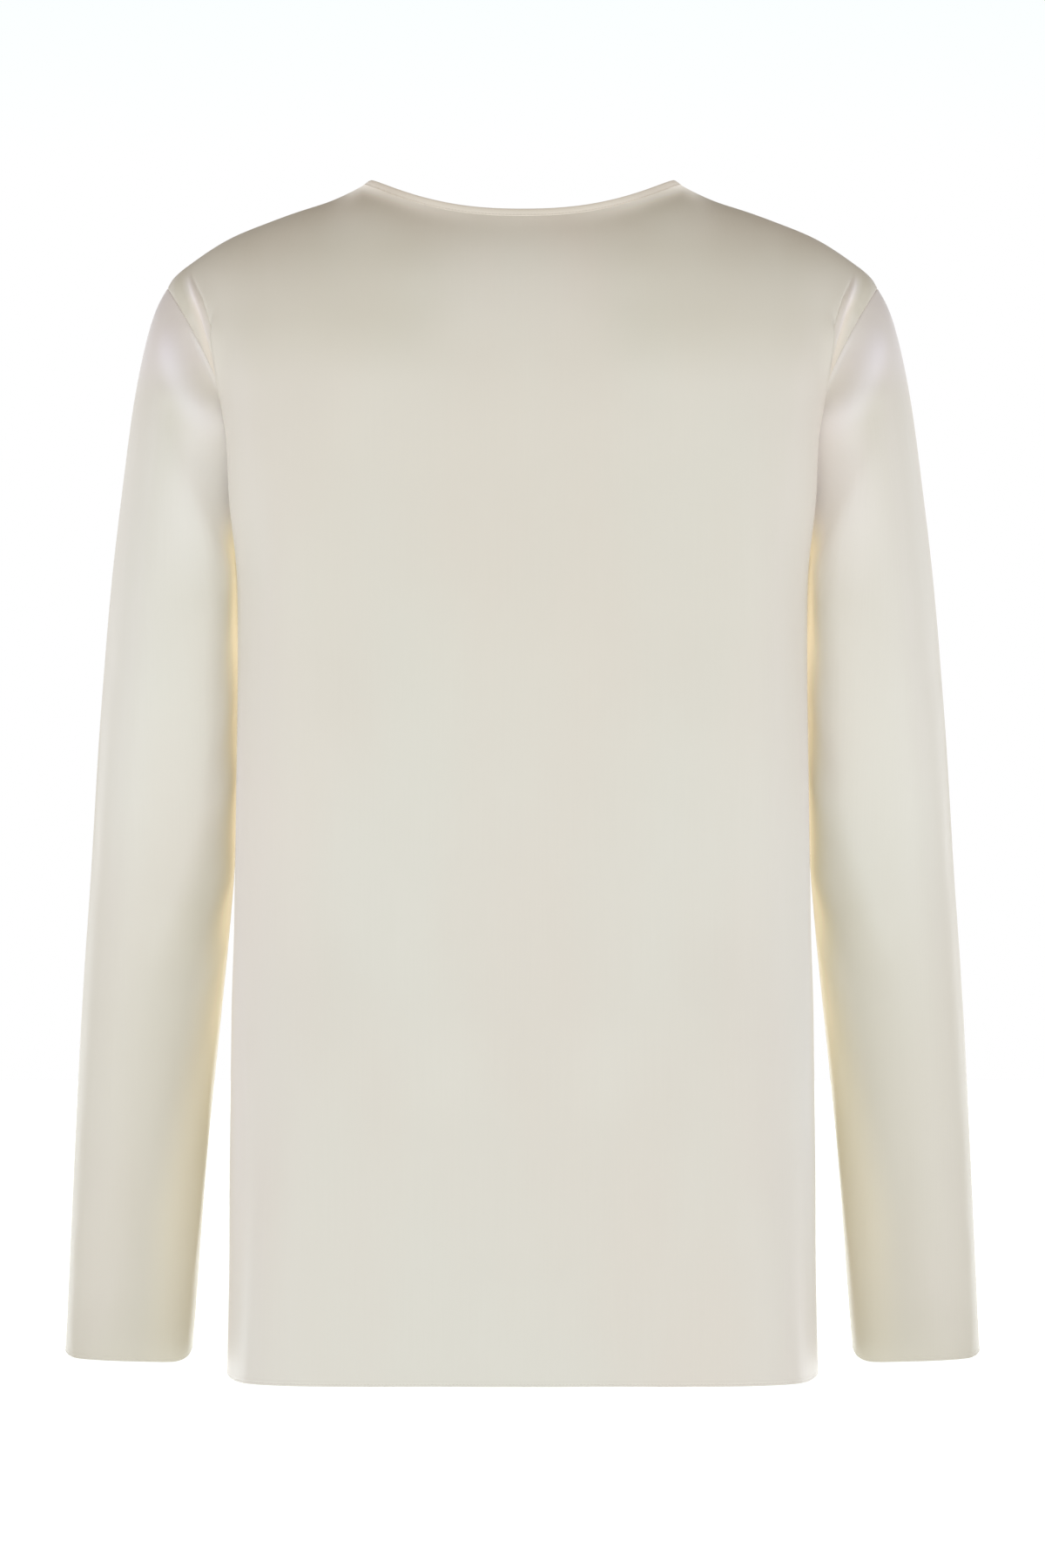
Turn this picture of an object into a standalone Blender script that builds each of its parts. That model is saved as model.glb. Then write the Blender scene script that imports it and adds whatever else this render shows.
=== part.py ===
"""Silk blouse: a long-sleeved satin pullover in the form that it has when it is worn.

The frame stands on the shoulders: the origin lies midway between the two high shoulder points, +Z is up,
the front faces -Y and the back +Y. Sizes are in millimetres and become metres where a mesh is made.
Five pieces are cut and sewn: back, front, two sleeves and the binding of the neck.
"""

import math

import bpy
import numpy as np

OBJECT_NAME = "silk_blouse"
MM = 0.001

# Cloth and seams: each piece stops short of its seam, so that the walls end about 0.3 mm apart. A sleeve
# stands off by more at the side, where its wall meets the body's wall at a corner.
WALL = 1.2
BINDING_WALL = 1.8
BINDING_GAP = 0.38
SHOULDER_INSET = 0.25
SIDE_INSET = 0.22
TIP_CLEAR = 0.29
SIDE_CLEAR = 1.5

# Grid: columns over half a panel, rows up the body, rows over the shoulder
NECK_COLUMNS = 8
SHOULDER_COLUMNS = 11
BODY_ROWS = 11
ARMHOLE_ROWS = 6
TOP_ROWS = 7
SLEEVE_ROWS = 20

# Body sections from the hem to the shoulder blades or the chest. z_mid and z_side are the heights at the
# centre and at the side, depth is how far the cloth stands off the side seams' plane at the centre,
# fold_x is the half width at the soft vertical fold, side_x the half width on the side seams' plane,
# and square is how square the corner between them is: 2 is an ellipse.
SECTION = ("z_mid", "z_side", "depth", "fold_x", "side_x", "square")
BACK_SECTIONS = (
    (-689, -689, 122, 169.7, 168.5, 5.0),
    (-551, -551, 119, 167.6, 166.0, 4.4),
    (-430, -430, 114, 167.0, 163.0, 4.0),
    (-320, -320, 112, 165.8, 160.0, 4.0),
    (-215, -215, 113, 166.4, 160.0, 4.0),
    (-150, -165, 110.5, 170.0, 161.5, 4.0),
    (-113, -128, 106.5, 172.6, 173.0, 3.8),
)
FRONT_SECTIONS = (
    (-689, -689, 120, 169.5, 168.5, 3.4),
    (-551, -551, 117, 167.0, 166.0, 3.3),
    (-430, -430, 112, 166.6, 163.0, 3.2),
    (-320, -320, 113, 165.6, 160.0, 3.2),
    (-240, -215, 116, 166.2, 160.0, 3.2),
    (-216, -165, 115, 168.4, 161.5, 3.2),
    (-200, -128, 113, 172.0, 173.0, 3.2),
)
# A section is drawn in towards side_x from this share of its depth down to the side seams' plane
TUCK_FROM = 0.6

HEM_Z = -689.0

# Armhole: underarm height, height of its deepest points, and their distance from the side seams' plane
UNDERARM_Z = -215.0
ARMHOLE_WIDE_Z = -128.0
BACK_ARMHOLE_DEPTH = 45.0
FRONT_ARMHOLE_DEPTH = 41.0
ARMHOLE_BOTTOM = 1.7
ARMHOLE_SIDE = 2.1

# Shoulder line from the neck seam to the sleeve, in a few points: x and height
SHOULDER_LINE = ((92.5, -3.6), (105, -10.4), (126, -17.6), (150, -26.1), (169, -34.0), (182.6, -42.0),
                 (194, -50.0), (202, -57.0), (205.5, -62.6))
SHOULDER_TIP_Y = -3.0
TIP_Z = SHOULDER_LINE[-1][1]

# Neck: half width, depth behind and in front, drop behind and in front, for the edge and for its seam
EDGE_NECK = {"half": 87.4, "top": 0.0, "back_y": 65.0, "back_drop": 21.2, "front_y": 105.0,
             "front_drop": 155.0}
SEAM_NECK = {"half": 92.5, "top": -3.6, "back_y": 68.0, "back_drop": 23.4, "front_y": 107.0,
             "front_drop": 162.3}
BACK_NECK_CURVE = 2.3
V_BOW = 0.25

# Top of a panel: how much of a row lies under the neck, the roundness of the arch over the shoulder,
# and how much of that arch is left at the centre of the back and of the V
NECK_SHARE = 0.35
KEEP_SHARE = 0.6
BACK_ARCH = 2.2
FRONT_ARCH = 1.95
BACK_CENTRE_ARCH = 0.80
FRONT_CENTRE_ARCH = 0.55

# Sleeve rings from the armhole to the cuff: the point by the body, the outer point, half the ring's
# depth, and how far its middle lies behind the side seams' plane
RING = ("in_x", "in_z", "out_x", "out_z", "half_depth", "mid_y")
SLEEVE_RINGS = (
    (165.8, -218.0, 213.5, -80, 50, 0),
    (166.2, -227.0, 222.3, -117, 57, 2),
    (165.5, -241.0, 229.3, -165, 61, 3),
    (165.0, -263.0, 236.1, -222, 62, 4),
    (165.0, -300.0, 241.2, -279, 59, 5),
    (165.5, -345.0, 245.4, -335, 54, 4),
    (167.5, -400.0, 249.3, -398, 49, 1),
    (172.0, -450.0, 253.2, -450, 46, -4),
    (182.8, -551.0, 259.7, -551, 40, -20),
    (194.0, -686.0, 267.2, -684, 34.5, -45),
)
SLEEVE_SQUARE = 2.2

# Largest soft folds. across runs from 0 at a panel's centre to 1 at its side, or round a sleeve from 0 at
# the outer edge over the back to 0.5 at the underarm; a fold runs straight between its two ends.
# Width is half its breadth, and height is out of the cloth where it is positive. A fold fades in and out
# over a share of its length, but one that reaches the hem runs off it.
HALF_GIRTH = 262.0
SLEEVE_GIRTH = 230.0
FOLD_FADE = 0.3
FOLD = ("across_a", "z_a", "across_b", "z_b", "width", "height")
BACK_FOLDS = (
    (0.74, -70, 0.80, -235, 22, 3.4),
    (0.36, -90, 0.40, -330, 26, -2.2),
    (0.55, -150, 0.60, -420, 22, 1.6),
    (0.16, -480, 0.20, -689, 24, -2.6),
    (0.44, -430, 0.50, -689, 26, 2.2),
    (0.66, -500, 0.70, -689, 20, -2.0),
)
FRONT_FOLDS = (
    (0.76, -90, 0.82, -240, 22, 2.4),
    (0.30, -230, 0.34, -460, 28, -2.4),
    (0.52, -200, 0.60, -520, 24, 2.0),
    (0.12, -420, 0.15, -689, 26, -2.6),
    (0.40, -470, 0.42, -689, 24, 2.4),
    (0.68, -380, 0.70, -689, 22, -2.2),
)
SLEEVE_FOLDS = (
    (0.47, -405, 0.25, -475, 13, -3.6),
    (0.47, -385, 0.22, -440, 13, 2.2),
    (0.40, -160, 0.14, -205, 16, -2.4),
    (0.58, -400, 0.76, -460, 14, -3.0),
    (0.60, -170, 0.86, -215, 17, -2.2),
)

SATIN_COLOUR = (0.74, 0.71, 0.64, 1.0)
SATIN_ROUGHNESS = 0.34


# Curves

def column(table, names, name):
    """One named column of a table as an array."""
    return np.array([row[names.index(name)] for row in table], float)


def smooth_through(knots, values, at):
    """Natural cubic spline through values at rising knots, read at the places in at."""
    knots = np.asarray(knots, float)
    values = np.asarray(values, float)
    shape = (-1,) + (1,) * (values.ndim - 1)
    step = np.diff(knots)
    slope = np.diff(values, axis=0) / step.reshape(shape)
    size = len(knots)
    system = np.eye(size)
    bend = np.zeros_like(values)
    for i in range(1, size - 1):
        system[i, i - 1:i + 2] = step[i - 1], 2 * (step[i - 1] + step[i]), step[i]
        bend[i] = 6 * (slope[i] - slope[i - 1])
    second = np.linalg.solve(system, bend.reshape(size, -1)).reshape(values.shape)
    at = np.asarray(at, float)
    i = np.clip(np.searchsorted(knots, at) - 1, 0, size - 2)
    h = step[i].reshape(shape)
    a = (knots[i + 1] - at).reshape(shape) / h
    b = 1 - a
    return (a * values[i] + b * values[i + 1]
            + ((a ** 3 - a) * second[i] + (b ** 3 - b) * second[i + 1]) * h ** 2 / 6)


def along(points, fractions):
    """Points at the given fractions of the length of a polyline."""
    steps = np.linalg.norm(np.diff(points, axis=0), axis=1)
    length = np.concatenate(([0.0], np.cumsum(steps)))
    return np.stack([np.interp(np.asarray(fractions) * length[-1], length, points[:, k]) for k in range(3)], 1)


def smooth_step(value):
    """0 below 0, 1 above 1 and a soft rise between."""
    value = np.clip(value, 0, 1)
    return value * value * (3 - 2 * value)


# Neck and shoulder lines

def neck_line(neck, back, fractions):
    """Half of the neck from its middle to the high shoulder point: an ellipse seen from above."""
    turn = np.radians(np.linspace(0, 90, 361))
    rise = np.sin(turn)
    if back:
        x = neck["half"] * rise
        y = neck["back_y"] * np.cos(turn)
        z = neck["top"] - neck["back_drop"] * (1 - rise ** BACK_NECK_CURVE)
    else:
        x = neck["half"] * rise * (1 + V_BOW * (1 - rise))
        y = -neck["front_y"] * np.cos(turn)
        z = neck["top"] - neck["front_drop"] * (1 - rise)
    return along(np.stack([x, y, z], 1), fractions)


def shoulder_line(fractions):
    """The shoulder seam from the neck to the sleeve, sinking a little forwards at its tip."""
    points = np.array(SHOULDER_LINE, float)
    knots = np.concatenate(([0.0], np.cumsum(np.linalg.norm(np.diff(points, axis=0), axis=1))))
    fine = np.linspace(0, knots[-1], 241)
    xz = smooth_through(knots, points, fine)
    y = SHOULDER_TIP_Y * smooth_step(fine / knots[-1])
    return along(np.stack([xz[:, 0], y, xz[:, 1]], 1), fractions)


# Panels

def panel_columns():
    """Places of the columns over half a panel, closer together towards the side."""
    neck = NECK_SHARE * np.linspace(0, 1, NECK_COLUMNS + 1)
    side = NECK_SHARE + (1 - NECK_SHARE) * np.linspace(0, 1, SHOULDER_COLUMNS + 1) ** 0.85
    return np.concatenate((neck[:-1], side))


def armhole_depth(z_side, deepest):
    """Distance of the armhole's edge from the side seams' plane: a U that ends upright."""
    rise = np.clip((z_side - UNDERARM_Z) / (ARMHOLE_WIDE_Z - UNDERARM_Z), 0, 1)
    return deepest * (1 - (1 - rise) ** ARMHOLE_BOTTOM) ** (1 / ARMHOLE_SIDE)


def body_row(sections, deepest, z_side, across):
    """One row of half a panel, from its centre to the side seam or to the armhole's edge."""
    knots = column(sections, SECTION, "z_side")
    z_mid, depth, fold_x, side_x, square = (
        smooth_through(knots, column(sections, SECTION, name), [z_side])[0]
        for name in ("z_mid", "depth", "fold_x", "side_x", "square"))
    turn = np.radians(np.linspace(0, 90, 721))
    out = np.sin(turn) ** (2 / square)
    back = np.cos(turn) ** (2 / square)
    x = fold_x * out + (side_x - fold_x) * smooth_step((TUCK_FROM - back) / TUCK_FROM)
    y = depth * back
    steps = np.hypot(np.diff(x), np.diff(y))
    share = np.concatenate(([0.0], np.cumsum(steps)))
    share /= share[-1]
    end = np.interp(-armhole_depth(z_side, deepest), -y, share)
    place = np.where(across < KEEP_SHARE, across,
                     KEEP_SHARE + (end - KEEP_SHARE) * (across - KEEP_SHARE) / (1 - KEEP_SHARE))
    z = z_side + (z_mid - z_side) * np.cos(0.5 * math.pi * place) ** 2
    return np.stack([np.interp(place, share, x), np.interp(place, share, y), z], 1)


def top_edge(back, across):
    """The upper edge of half a panel: the neck seam, then the shoulder seam."""
    side = 1.0 if back else -1.0
    neck = neck_line(SEAM_NECK, back, np.clip(across / NECK_SHARE, 0, 1))
    share = np.clip((across - NECK_SHARE) / (1 - NECK_SHARE), 0, 1) ** 0.75
    shoulder = shoulder_line(share)
    edge = np.where((across <= NECK_SHARE)[:, None], neck, shoulder)
    edge[:, 1] += side * SHOULDER_INSET * smooth_step((across - 0.5 * NECK_SHARE) / (0.4 * NECK_SHARE))
    edge[:, 1] *= side
    return edge


def panel_levels(power):
    """Heights of a panel's rows up to the armhole's widest place, and the steps of its arch above."""
    body = np.linspace(HEM_Z, UNDERARM_Z, BODY_ROWS + 1)
    rise = np.linspace(0, 1, ARMHOLE_ROWS + 1)[1:] ** 1.5
    armhole = UNDERARM_Z + (ARMHOLE_WIDE_Z - UNDERARM_Z) * rise
    top = np.sin(np.radians(np.linspace(0, 90, TOP_ROWS + 1)[1:])) ** (2 / power)
    return np.concatenate((body, armhole)), top


def panel_grid(back):
    """Half a panel as a grid of rows, hem first: body, armhole, then the arch over the shoulder."""
    sections = BACK_SECTIONS if back else FRONT_SECTIONS
    deepest = BACK_ARMHOLE_DEPTH if back else FRONT_ARMHOLE_DEPTH
    power = BACK_ARCH if back else FRONT_ARCH
    centre_arch = BACK_CENTRE_ARCH if back else FRONT_CENTRE_ARCH
    across = panel_columns()
    levels, top_steps = panel_levels(power)
    rows = [body_row(sections, deepest, z, across) for z in levels]
    start = rows[-1]
    below = body_row(sections, deepest, levels[-1] - 2.0, across)
    end = top_edge(back, across)
    rise = end[:, 2] - start[:, 2]
    lean = (start - below)[:, :2] / (start - below)[:, 2:]
    arch = centre_arch + (1 - centre_arch) * smooth_step(across / NECK_SHARE)
    for s in top_steps:
        drop = (1 - (1 - (arch * s) ** power) ** (1 / power)) / (1 - (1 - arch ** power) ** (1 / power))
        carry = s * (1 - s) ** 2
        x = start[:, 0] + (end[:, 0] - start[:, 0]) * s ** 1.25 + lean[:, 0] * rise * carry
        y = start[:, 1] + (end[:, 1] - start[:, 1]) * drop + lean[:, 1] * rise * carry
        rows.append(np.stack([x, y, start[:, 2] + rise * s], 1))
    grid = np.stack(rows)
    grid[:BODY_ROWS + 1, -1, 1] = SIDE_INSET
    if not back:
        grid[:, :, 1] *= -1
    return grid


def raise_folds(grid, across, folds, girth, outward):
    """Move a grid's points along its normals by every fold: a soft ridge or trough between two ends."""
    du = np.gradient(grid, axis=1)
    dr = np.gradient(grid, axis=0)
    normal = np.cross(du, dr)
    normal *= outward / np.maximum(np.linalg.norm(normal, axis=2, keepdims=True), 1e-9)
    place = np.stack([np.broadcast_to(across, grid.shape[:2]) * girth, grid[:, :, 2]], 2)
    lift = np.zeros(grid.shape[:2])
    for row in folds:
        fold = dict(zip(FOLD, row))
        start = np.array([fold["across_a"] * girth, fold["z_a"]])
        run = np.array([fold["across_b"] * girth, fold["z_b"]]) - start
        t = ((place - start) @ run) / (run @ run)
        off = np.linalg.norm(place - start - t[:, :, None] * run, axis=2)
        fade = smooth_step(t / FOLD_FADE)
        if fold["z_b"] > HEM_Z:
            fade = fade * smooth_step((1 - t) / FOLD_FADE)
        lift += fold["height"] * np.exp(-(off / fold["width"]) ** 2) * fade
    return grid + normal * lift[:, :, None]


# Sleeve

def armhole_loop():
    """The edge that the left sleeve is sewn to, from the shoulder's tip down the back and up the front,
    and the place of each of its points: 0 and 1 at the tip, 0.5 at the underarm."""
    back = panel_grid(True)[BODY_ROWS:, -1][::-1]
    front = panel_grid(False)[BODY_ROWS:, -1]
    back[0] = front[-1] = 0.5 * (back[0] + front[-1])
    back[-1] = front[0] = 0.5 * (back[-1] + front[0])
    places = []
    for half in (back, front):
        steps = np.linalg.norm(np.diff(half, axis=0), axis=1)
        places.append(np.concatenate(([0.0], np.cumsum(steps))) / (2 * steps.sum()))
    return np.concatenate((back[:-1], front[:-1])), np.concatenate((places[0][:-1], 0.5 + places[1][:-1]))


def sleeve_rings():
    """Every ring of the left sleeve, the armhole's edge first, and the places round it."""
    loop, around = armhole_loop()
    under = smooth_step((TIP_Z - 1.4 - loop[:, 2]) / 30)
    loop[:, 0] += TIP_CLEAR + (SIDE_CLEAR - TIP_CLEAR) * under
    loop[:, 2] -= TIP_CLEAR * (1 - under)
    rings = [loop]
    turn = np.radians(np.linspace(0, 360, 721))
    cos, sin = np.cos(turn), np.sin(turn)
    a = np.sign(cos) * np.abs(cos) ** (2 / SLEEVE_SQUARE)
    b = np.sign(sin) * np.abs(sin) ** (2 / SLEEVE_SQUARE)
    for row in SLEEVE_RINGS:
        ring = dict(zip(RING, row))
        x = 0.5 * (ring["out_x"] + ring["in_x"]) + 0.5 * (ring["out_x"] - ring["in_x"]) * a
        z = 0.5 * (ring["out_z"] + ring["in_z"]) + 0.5 * (ring["out_z"] - ring["in_z"]) * a
        y = ring["mid_y"] + ring["half_depth"] * b
        rings.append(along(np.stack([x, y, z], 1), around))
    return np.stack(rings), around


def sleeve_grid():
    """The left sleeve as a grid, ring by ring from the armhole to the cuff, and the places round it."""
    rings, around = sleeve_rings()
    gaps = np.linalg.norm(np.diff(rings, axis=0), axis=2).mean(1)
    knots = np.concatenate(([0.0], np.cumsum(gaps)))
    place = knots[-1] * np.linspace(0, 1, SLEEVE_ROWS + 1) ** 1.35
    return smooth_through(knots, rings, place), around


# Objects

def make_material(name):
    """Ivory satin: a Principled BSDF with the cloth's colour and a soft gloss."""
    material = bpy.data.materials.new(name + "_satin")
    material.use_nodes = True
    shader = material.node_tree.nodes["Principled BSDF"]
    shader.inputs["Base Color"].default_value = SATIN_COLOUR
    shader.inputs["Roughness"].default_value = SATIN_ROUGHNESS
    shader.inputs["Metallic"].default_value = 0.0
    return material


def grid_mesh(name, grid, closed, flip):
    """A mesh of quads over a grid of points; closed joins its last column to its first."""
    rows, columns = grid.shape[:2]
    index = np.arange(rows * columns).reshape(rows, columns)
    right = np.roll(index, -1, 1) if closed else index[:, 1:]
    left = index if closed else index[:, :-1]
    quads = np.stack([left[:-1], right[:-1], right[1:], left[1:]], -1).reshape(-1, 4)
    if flip:
        quads = quads[:, ::-1]
    mesh = bpy.data.meshes.new(name)
    mesh.from_pydata((grid.reshape(-1, 3) * MM).tolist(), [], quads.tolist())
    mesh.update()
    mesh.shade_smooth()
    return mesh


def add_wall(collection, mesh, thickness, mirrored):
    """Put a mesh in the collection as a wall of cloth, mirrored across the centre where it is a half."""
    piece = bpy.data.objects.new(mesh.name, mesh)
    collection.objects.link(piece)
    mesh.materials.append(make_material(mesh.name))
    if mirrored:
        mirror = piece.modifiers.new("fold_line", "MIRROR")
        mirror.use_axis = (True, False, False)
        mirror.merge_threshold = 0.0001
    wall = piece.modifiers.new("cloth", "SOLIDIFY")
    wall.thickness = thickness * MM
    wall.offset = 0.0
    wall.use_even_offset = True
    return piece


def make_panel(collection, name, back):
    """A front or a back, cut on the fold."""
    grid = panel_grid(back)
    top, side = grid[-1].copy(), grid[:, -1].copy()
    folds = BACK_FOLDS if back else FRONT_FOLDS
    grid = raise_folds(grid, panel_columns(), folds, HALF_GIRTH, -1.0 if back else 1.0)
    grid[-1], grid[:, -1] = top, side
    grid[:, 0, 0] = 0.0
    return add_wall(collection, grid_mesh(name, grid, False, back), WALL, True)


def make_sleeve(collection, name, side):
    """A sleeve: side is 1 for the left one and -1 for its mirror image."""
    grid, around = sleeve_grid()
    armhole = grid[0].copy()
    closed = np.concatenate([grid[:, -1:], grid, grid[:, :1]], 1)
    places = np.concatenate(([around[-1] - 1], around, [1.0]))
    grid = raise_folds(closed, places, SLEEVE_FOLDS, SLEEVE_GIRTH, -1.0)[:, 1:-1]
    grid[0] = armhole
    grid[:, :, 0] *= side
    return add_wall(collection, grid_mesh(name, grid, True, side > 0), WALL, False)


def binding_half(back):
    """Half of the binding from its middle to the high shoulder point: its seam's side and its edge."""
    fractions = np.linspace(0, 1, NECK_COLUMNS + 1)
    seam = neck_line(SEAM_NECK, back, fractions)
    edge = neck_line(EDGE_NECK, back, fractions)
    strip = edge - seam
    strip /= np.linalg.norm(strip, axis=1, keepdims=True)
    panel = panel_grid(back)[:, :NECK_COLUMNS + 1]
    slope = panel[-1] - panel[-2]
    slope /= np.linalg.norm(slope, axis=1, keepdims=True)
    cos = np.clip((strip * slope).sum(1, keepdims=True), 0.5, 1)
    gap = (BINDING_GAP + 0.5 * BINDING_WALL * np.sqrt(1 - cos ** 2)) / cos
    return seam + strip * gap, edge


def make_binding(collection):
    """The strip that binds the neck, standing from its seam to the finished edge."""
    back_seam, back_edge = binding_half(True)
    front_seam, front_edge = binding_half(False)
    seam = np.concatenate((back_seam, front_seam[-2::-1]))
    edge = np.concatenate((back_edge, front_edge[-2::-1]))
    grid = np.stack([seam, 0.5 * (seam + edge), edge])
    grid[:, [0, -1], 0] = 0.0
    return add_wall(collection, grid_mesh("neck_binding", grid, False, True), BINDING_WALL, True)


def main():
    for old in list(bpy.data.objects):
        bpy.data.objects.remove(old, do_unlink=True)
    collection = bpy.data.collections.new(OBJECT_NAME)
    bpy.context.scene.collection.children.link(collection)
    make_panel(collection, "back_panel", True)
    make_panel(collection, "front_panel", False)
    make_sleeve(collection, "sleeve_left", 1.0)
    make_sleeve(collection, "sleeve_right", -1.0)
    make_binding(collection)


main()
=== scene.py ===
# %% [markdown]
# # A long-sleeved blouse of silk satin
#
# The blouse keeps the form that it has on a wearer, with nobody in it. Five pieces are cut and sewn: a back,
# a front with a V neck, two set-in sleeves and the bias binding of the neck. The imported model gives them as
# plain walls of cloth. Here each one becomes a thin shell of satin on the same form, with turned hems,
# seams that roll in, soft creases and rows of stitches.
#
# The first cell loads the imported model, which stays where it is.

import math

import bpy
import numpy as np
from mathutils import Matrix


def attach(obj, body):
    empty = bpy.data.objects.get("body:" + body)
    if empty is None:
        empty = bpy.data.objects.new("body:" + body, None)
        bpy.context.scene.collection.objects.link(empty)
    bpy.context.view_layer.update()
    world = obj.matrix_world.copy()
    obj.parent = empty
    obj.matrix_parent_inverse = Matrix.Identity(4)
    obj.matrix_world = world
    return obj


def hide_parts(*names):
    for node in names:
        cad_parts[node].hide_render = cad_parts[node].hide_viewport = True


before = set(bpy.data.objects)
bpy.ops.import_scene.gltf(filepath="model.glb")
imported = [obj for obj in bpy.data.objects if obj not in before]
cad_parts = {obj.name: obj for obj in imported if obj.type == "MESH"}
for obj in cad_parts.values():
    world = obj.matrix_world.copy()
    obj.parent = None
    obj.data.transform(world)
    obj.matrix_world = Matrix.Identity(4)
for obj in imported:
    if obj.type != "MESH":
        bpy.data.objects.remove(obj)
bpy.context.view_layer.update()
MM = 0.001

# %% [markdown]
# ## The camera
#
# The blouse is seen from behind, level with the middle of its back and from far away, so its sides run
# nearly parallel. A long lens from a few metres does that. The lens follows from the picture's height in
# pixels and the focal length in pixels, with a film of the usual 36 mm on the long side.

# %% Place the camera
CAMERA_AT = (0.0, 4.2, -0.3495)
FOCAL_PIXELS = 8317.0
PICTURE_HEIGHT = 1800.0
FILM = 36.0

lens = bpy.data.cameras.new("camera")
lens.sensor_width = FILM
lens.lens = FOCAL_PIXELS / PICTURE_HEIGHT * FILM
lens.dof.use_dof = False
camera = bpy.data.objects.new("camera", lens)
camera.location = CAMERA_AT
camera.rotation_euler = (math.radians(90), 0.0, math.radians(180))
bpy.context.scene.collection.objects.link(camera)
bpy.context.scene.camera = camera
print("lens %.1f mm" % lens.lens)

# %% [markdown]
# ## Floor and light
#
# A blouse for a catalogue is lit by a large white tent: bright at eye level, dim and warmer from above. So
# the tops of the shoulders are the darkest places and nothing throws a hard shadow. The tent is the world, a
# smooth ramp from the horizon to the zenith. A lit floor would need lamps that wash the cloth out, so the
# pale floor glows softly by itself, more towards the distance. Wide soft lamps low before and behind, four
# more beside them and two small ones at the sides give the satin something to shine with. They are a little
# cool, which lets the warm ivory of the cloth show most in its hollows.

# %% Make the floor, the tent and the lamps
FLOOR_Z = -1.75
FLOOR_RADIUS = 30.0
# Distances from the middle between which the floor's glow grows, and its strength at both
FLOOR_GLOW = (2.4, 6.2, 0.42, 1.0)
FLOOR_LOOK = {"Base Color": (0.45, 0.45, 0.45, 1.0), "Roughness": 0.9,
              "Emission Color": (1.0, 1.05, 1.03, 1.0)}
# Height over the horizon, 1 at the zenith, and colour
TENT = ((0.0, (1.04, 1.08, 1.16)), (0.12, (1.04, 1.08, 1.16)), (0.18, (0.40, 0.41, 0.44)),
        (0.45, (0.21, 0.20, 0.175)), (0.75, (0.29, 0.245, 0.175)), (1.0, (0.54, 0.44, 0.30)))
WIDE_LIGHT = (0.97, 1.0, 1.03)
CORNER_LIGHT = (0.96, 1.0, 1.09)
SIDE_LIGHT = (0.97, 0.80, 1.25)
# Lamps: name, place, size, watts, colour
LAMPS = (
    ("wide_behind", (0.0, 3.6, -1.1), (4.0, 1.2), 13.0, WIDE_LIGHT),
    ("wide_before", (0.0, -3.6, -1.1), (4.0, 1.2), 13.0, WIDE_LIGHT),
    ("back_left", (-3.0, 2.8, -1.0), (1.6, 1.4), 12.5, CORNER_LIGHT),
    ("back_right", (3.0, 2.8, -1.0), (1.6, 1.4), 12.5, CORNER_LIGHT),
    ("front_left", (-2.8, -3.0, -1.0), (1.6, 1.4), 10.5, CORNER_LIGHT),
    ("front_right", (2.8, -3.0, -1.0), (1.6, 1.4), 10.5, CORNER_LIGHT),
    ("side_left", (-2.6, 0.3, 0.1), (0.8, 1.2), 3.4, SIDE_LIGHT),
    ("side_right", (2.6, 0.3, 0.1), (0.8, 1.2), 3.4, SIDE_LIGHT),
)
AIM = (0.0, 0.0, -0.38)


def new_material(name):
    """A material with its node tree and its Principled BSDF."""
    material = bpy.data.materials.new(name)
    material.use_nodes = True
    tree = material.node_tree
    return material, tree, tree.nodes["Principled BSDF"]


def add_node(tree, kind, **settings):
    """A new node with its settings by attribute."""
    node = tree.nodes.new(kind)
    for name, value in settings.items():
        setattr(node, name, value)
    return node


def set_sockets(node, values):
    """Set a node's own input sockets by name."""
    for name, value in values.items():
        node.inputs[name].default_value = value


def value_range(tree, value, low, high, to_low, to_high):
    """A Map Range node from one range of values to another."""
    node = add_node(tree, "ShaderNodeMapRange")
    set_sockets(node, {"From Min": low, "From Max": high, "To Min": to_low, "To Max": to_high})
    tree.links.new(value, node.inputs["Value"])
    return node.outputs["Result"]


def disc_mesh(name, radius, z, sides=96):
    """A flat disc as one polygon round the z axis."""
    turn = np.linspace(0, 2 * math.pi, sides, endpoint=False)
    rim = np.stack([radius * np.cos(turn), radius * np.sin(turn), np.full(sides, z)], 1)
    mesh = bpy.data.meshes.new(name)
    mesh.from_pydata(rim.tolist(), [], [list(range(sides))])
    return mesh


def tent_world():
    """The world as a ramp of soft light, from its height above the horizon."""
    world = bpy.data.worlds.new("tent")
    world.use_nodes = True
    tree = world.node_tree
    place, split, ramp = (add_node(tree, "ShaderNode" + kind)
                          for kind in ("TexCoord", "SeparateXYZ", "ValToRGB"))
    ramp.color_ramp.interpolation = "B_SPLINE"
    while len(ramp.color_ramp.elements) < len(TENT):
        ramp.color_ramp.elements.new(0.5)
    for element, (height, colour) in zip(ramp.color_ramp.elements, TENT):
        element.position = height
        element.color = (*colour, 1.0)
    tree.links.new(place.outputs["Generated"], split.inputs["Vector"])
    tree.links.new(split.outputs["Z"], ramp.inputs["Fac"])
    tree.links.new(ramp.outputs["Color"], tree.nodes["Background"].inputs["Color"])
    return world


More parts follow.
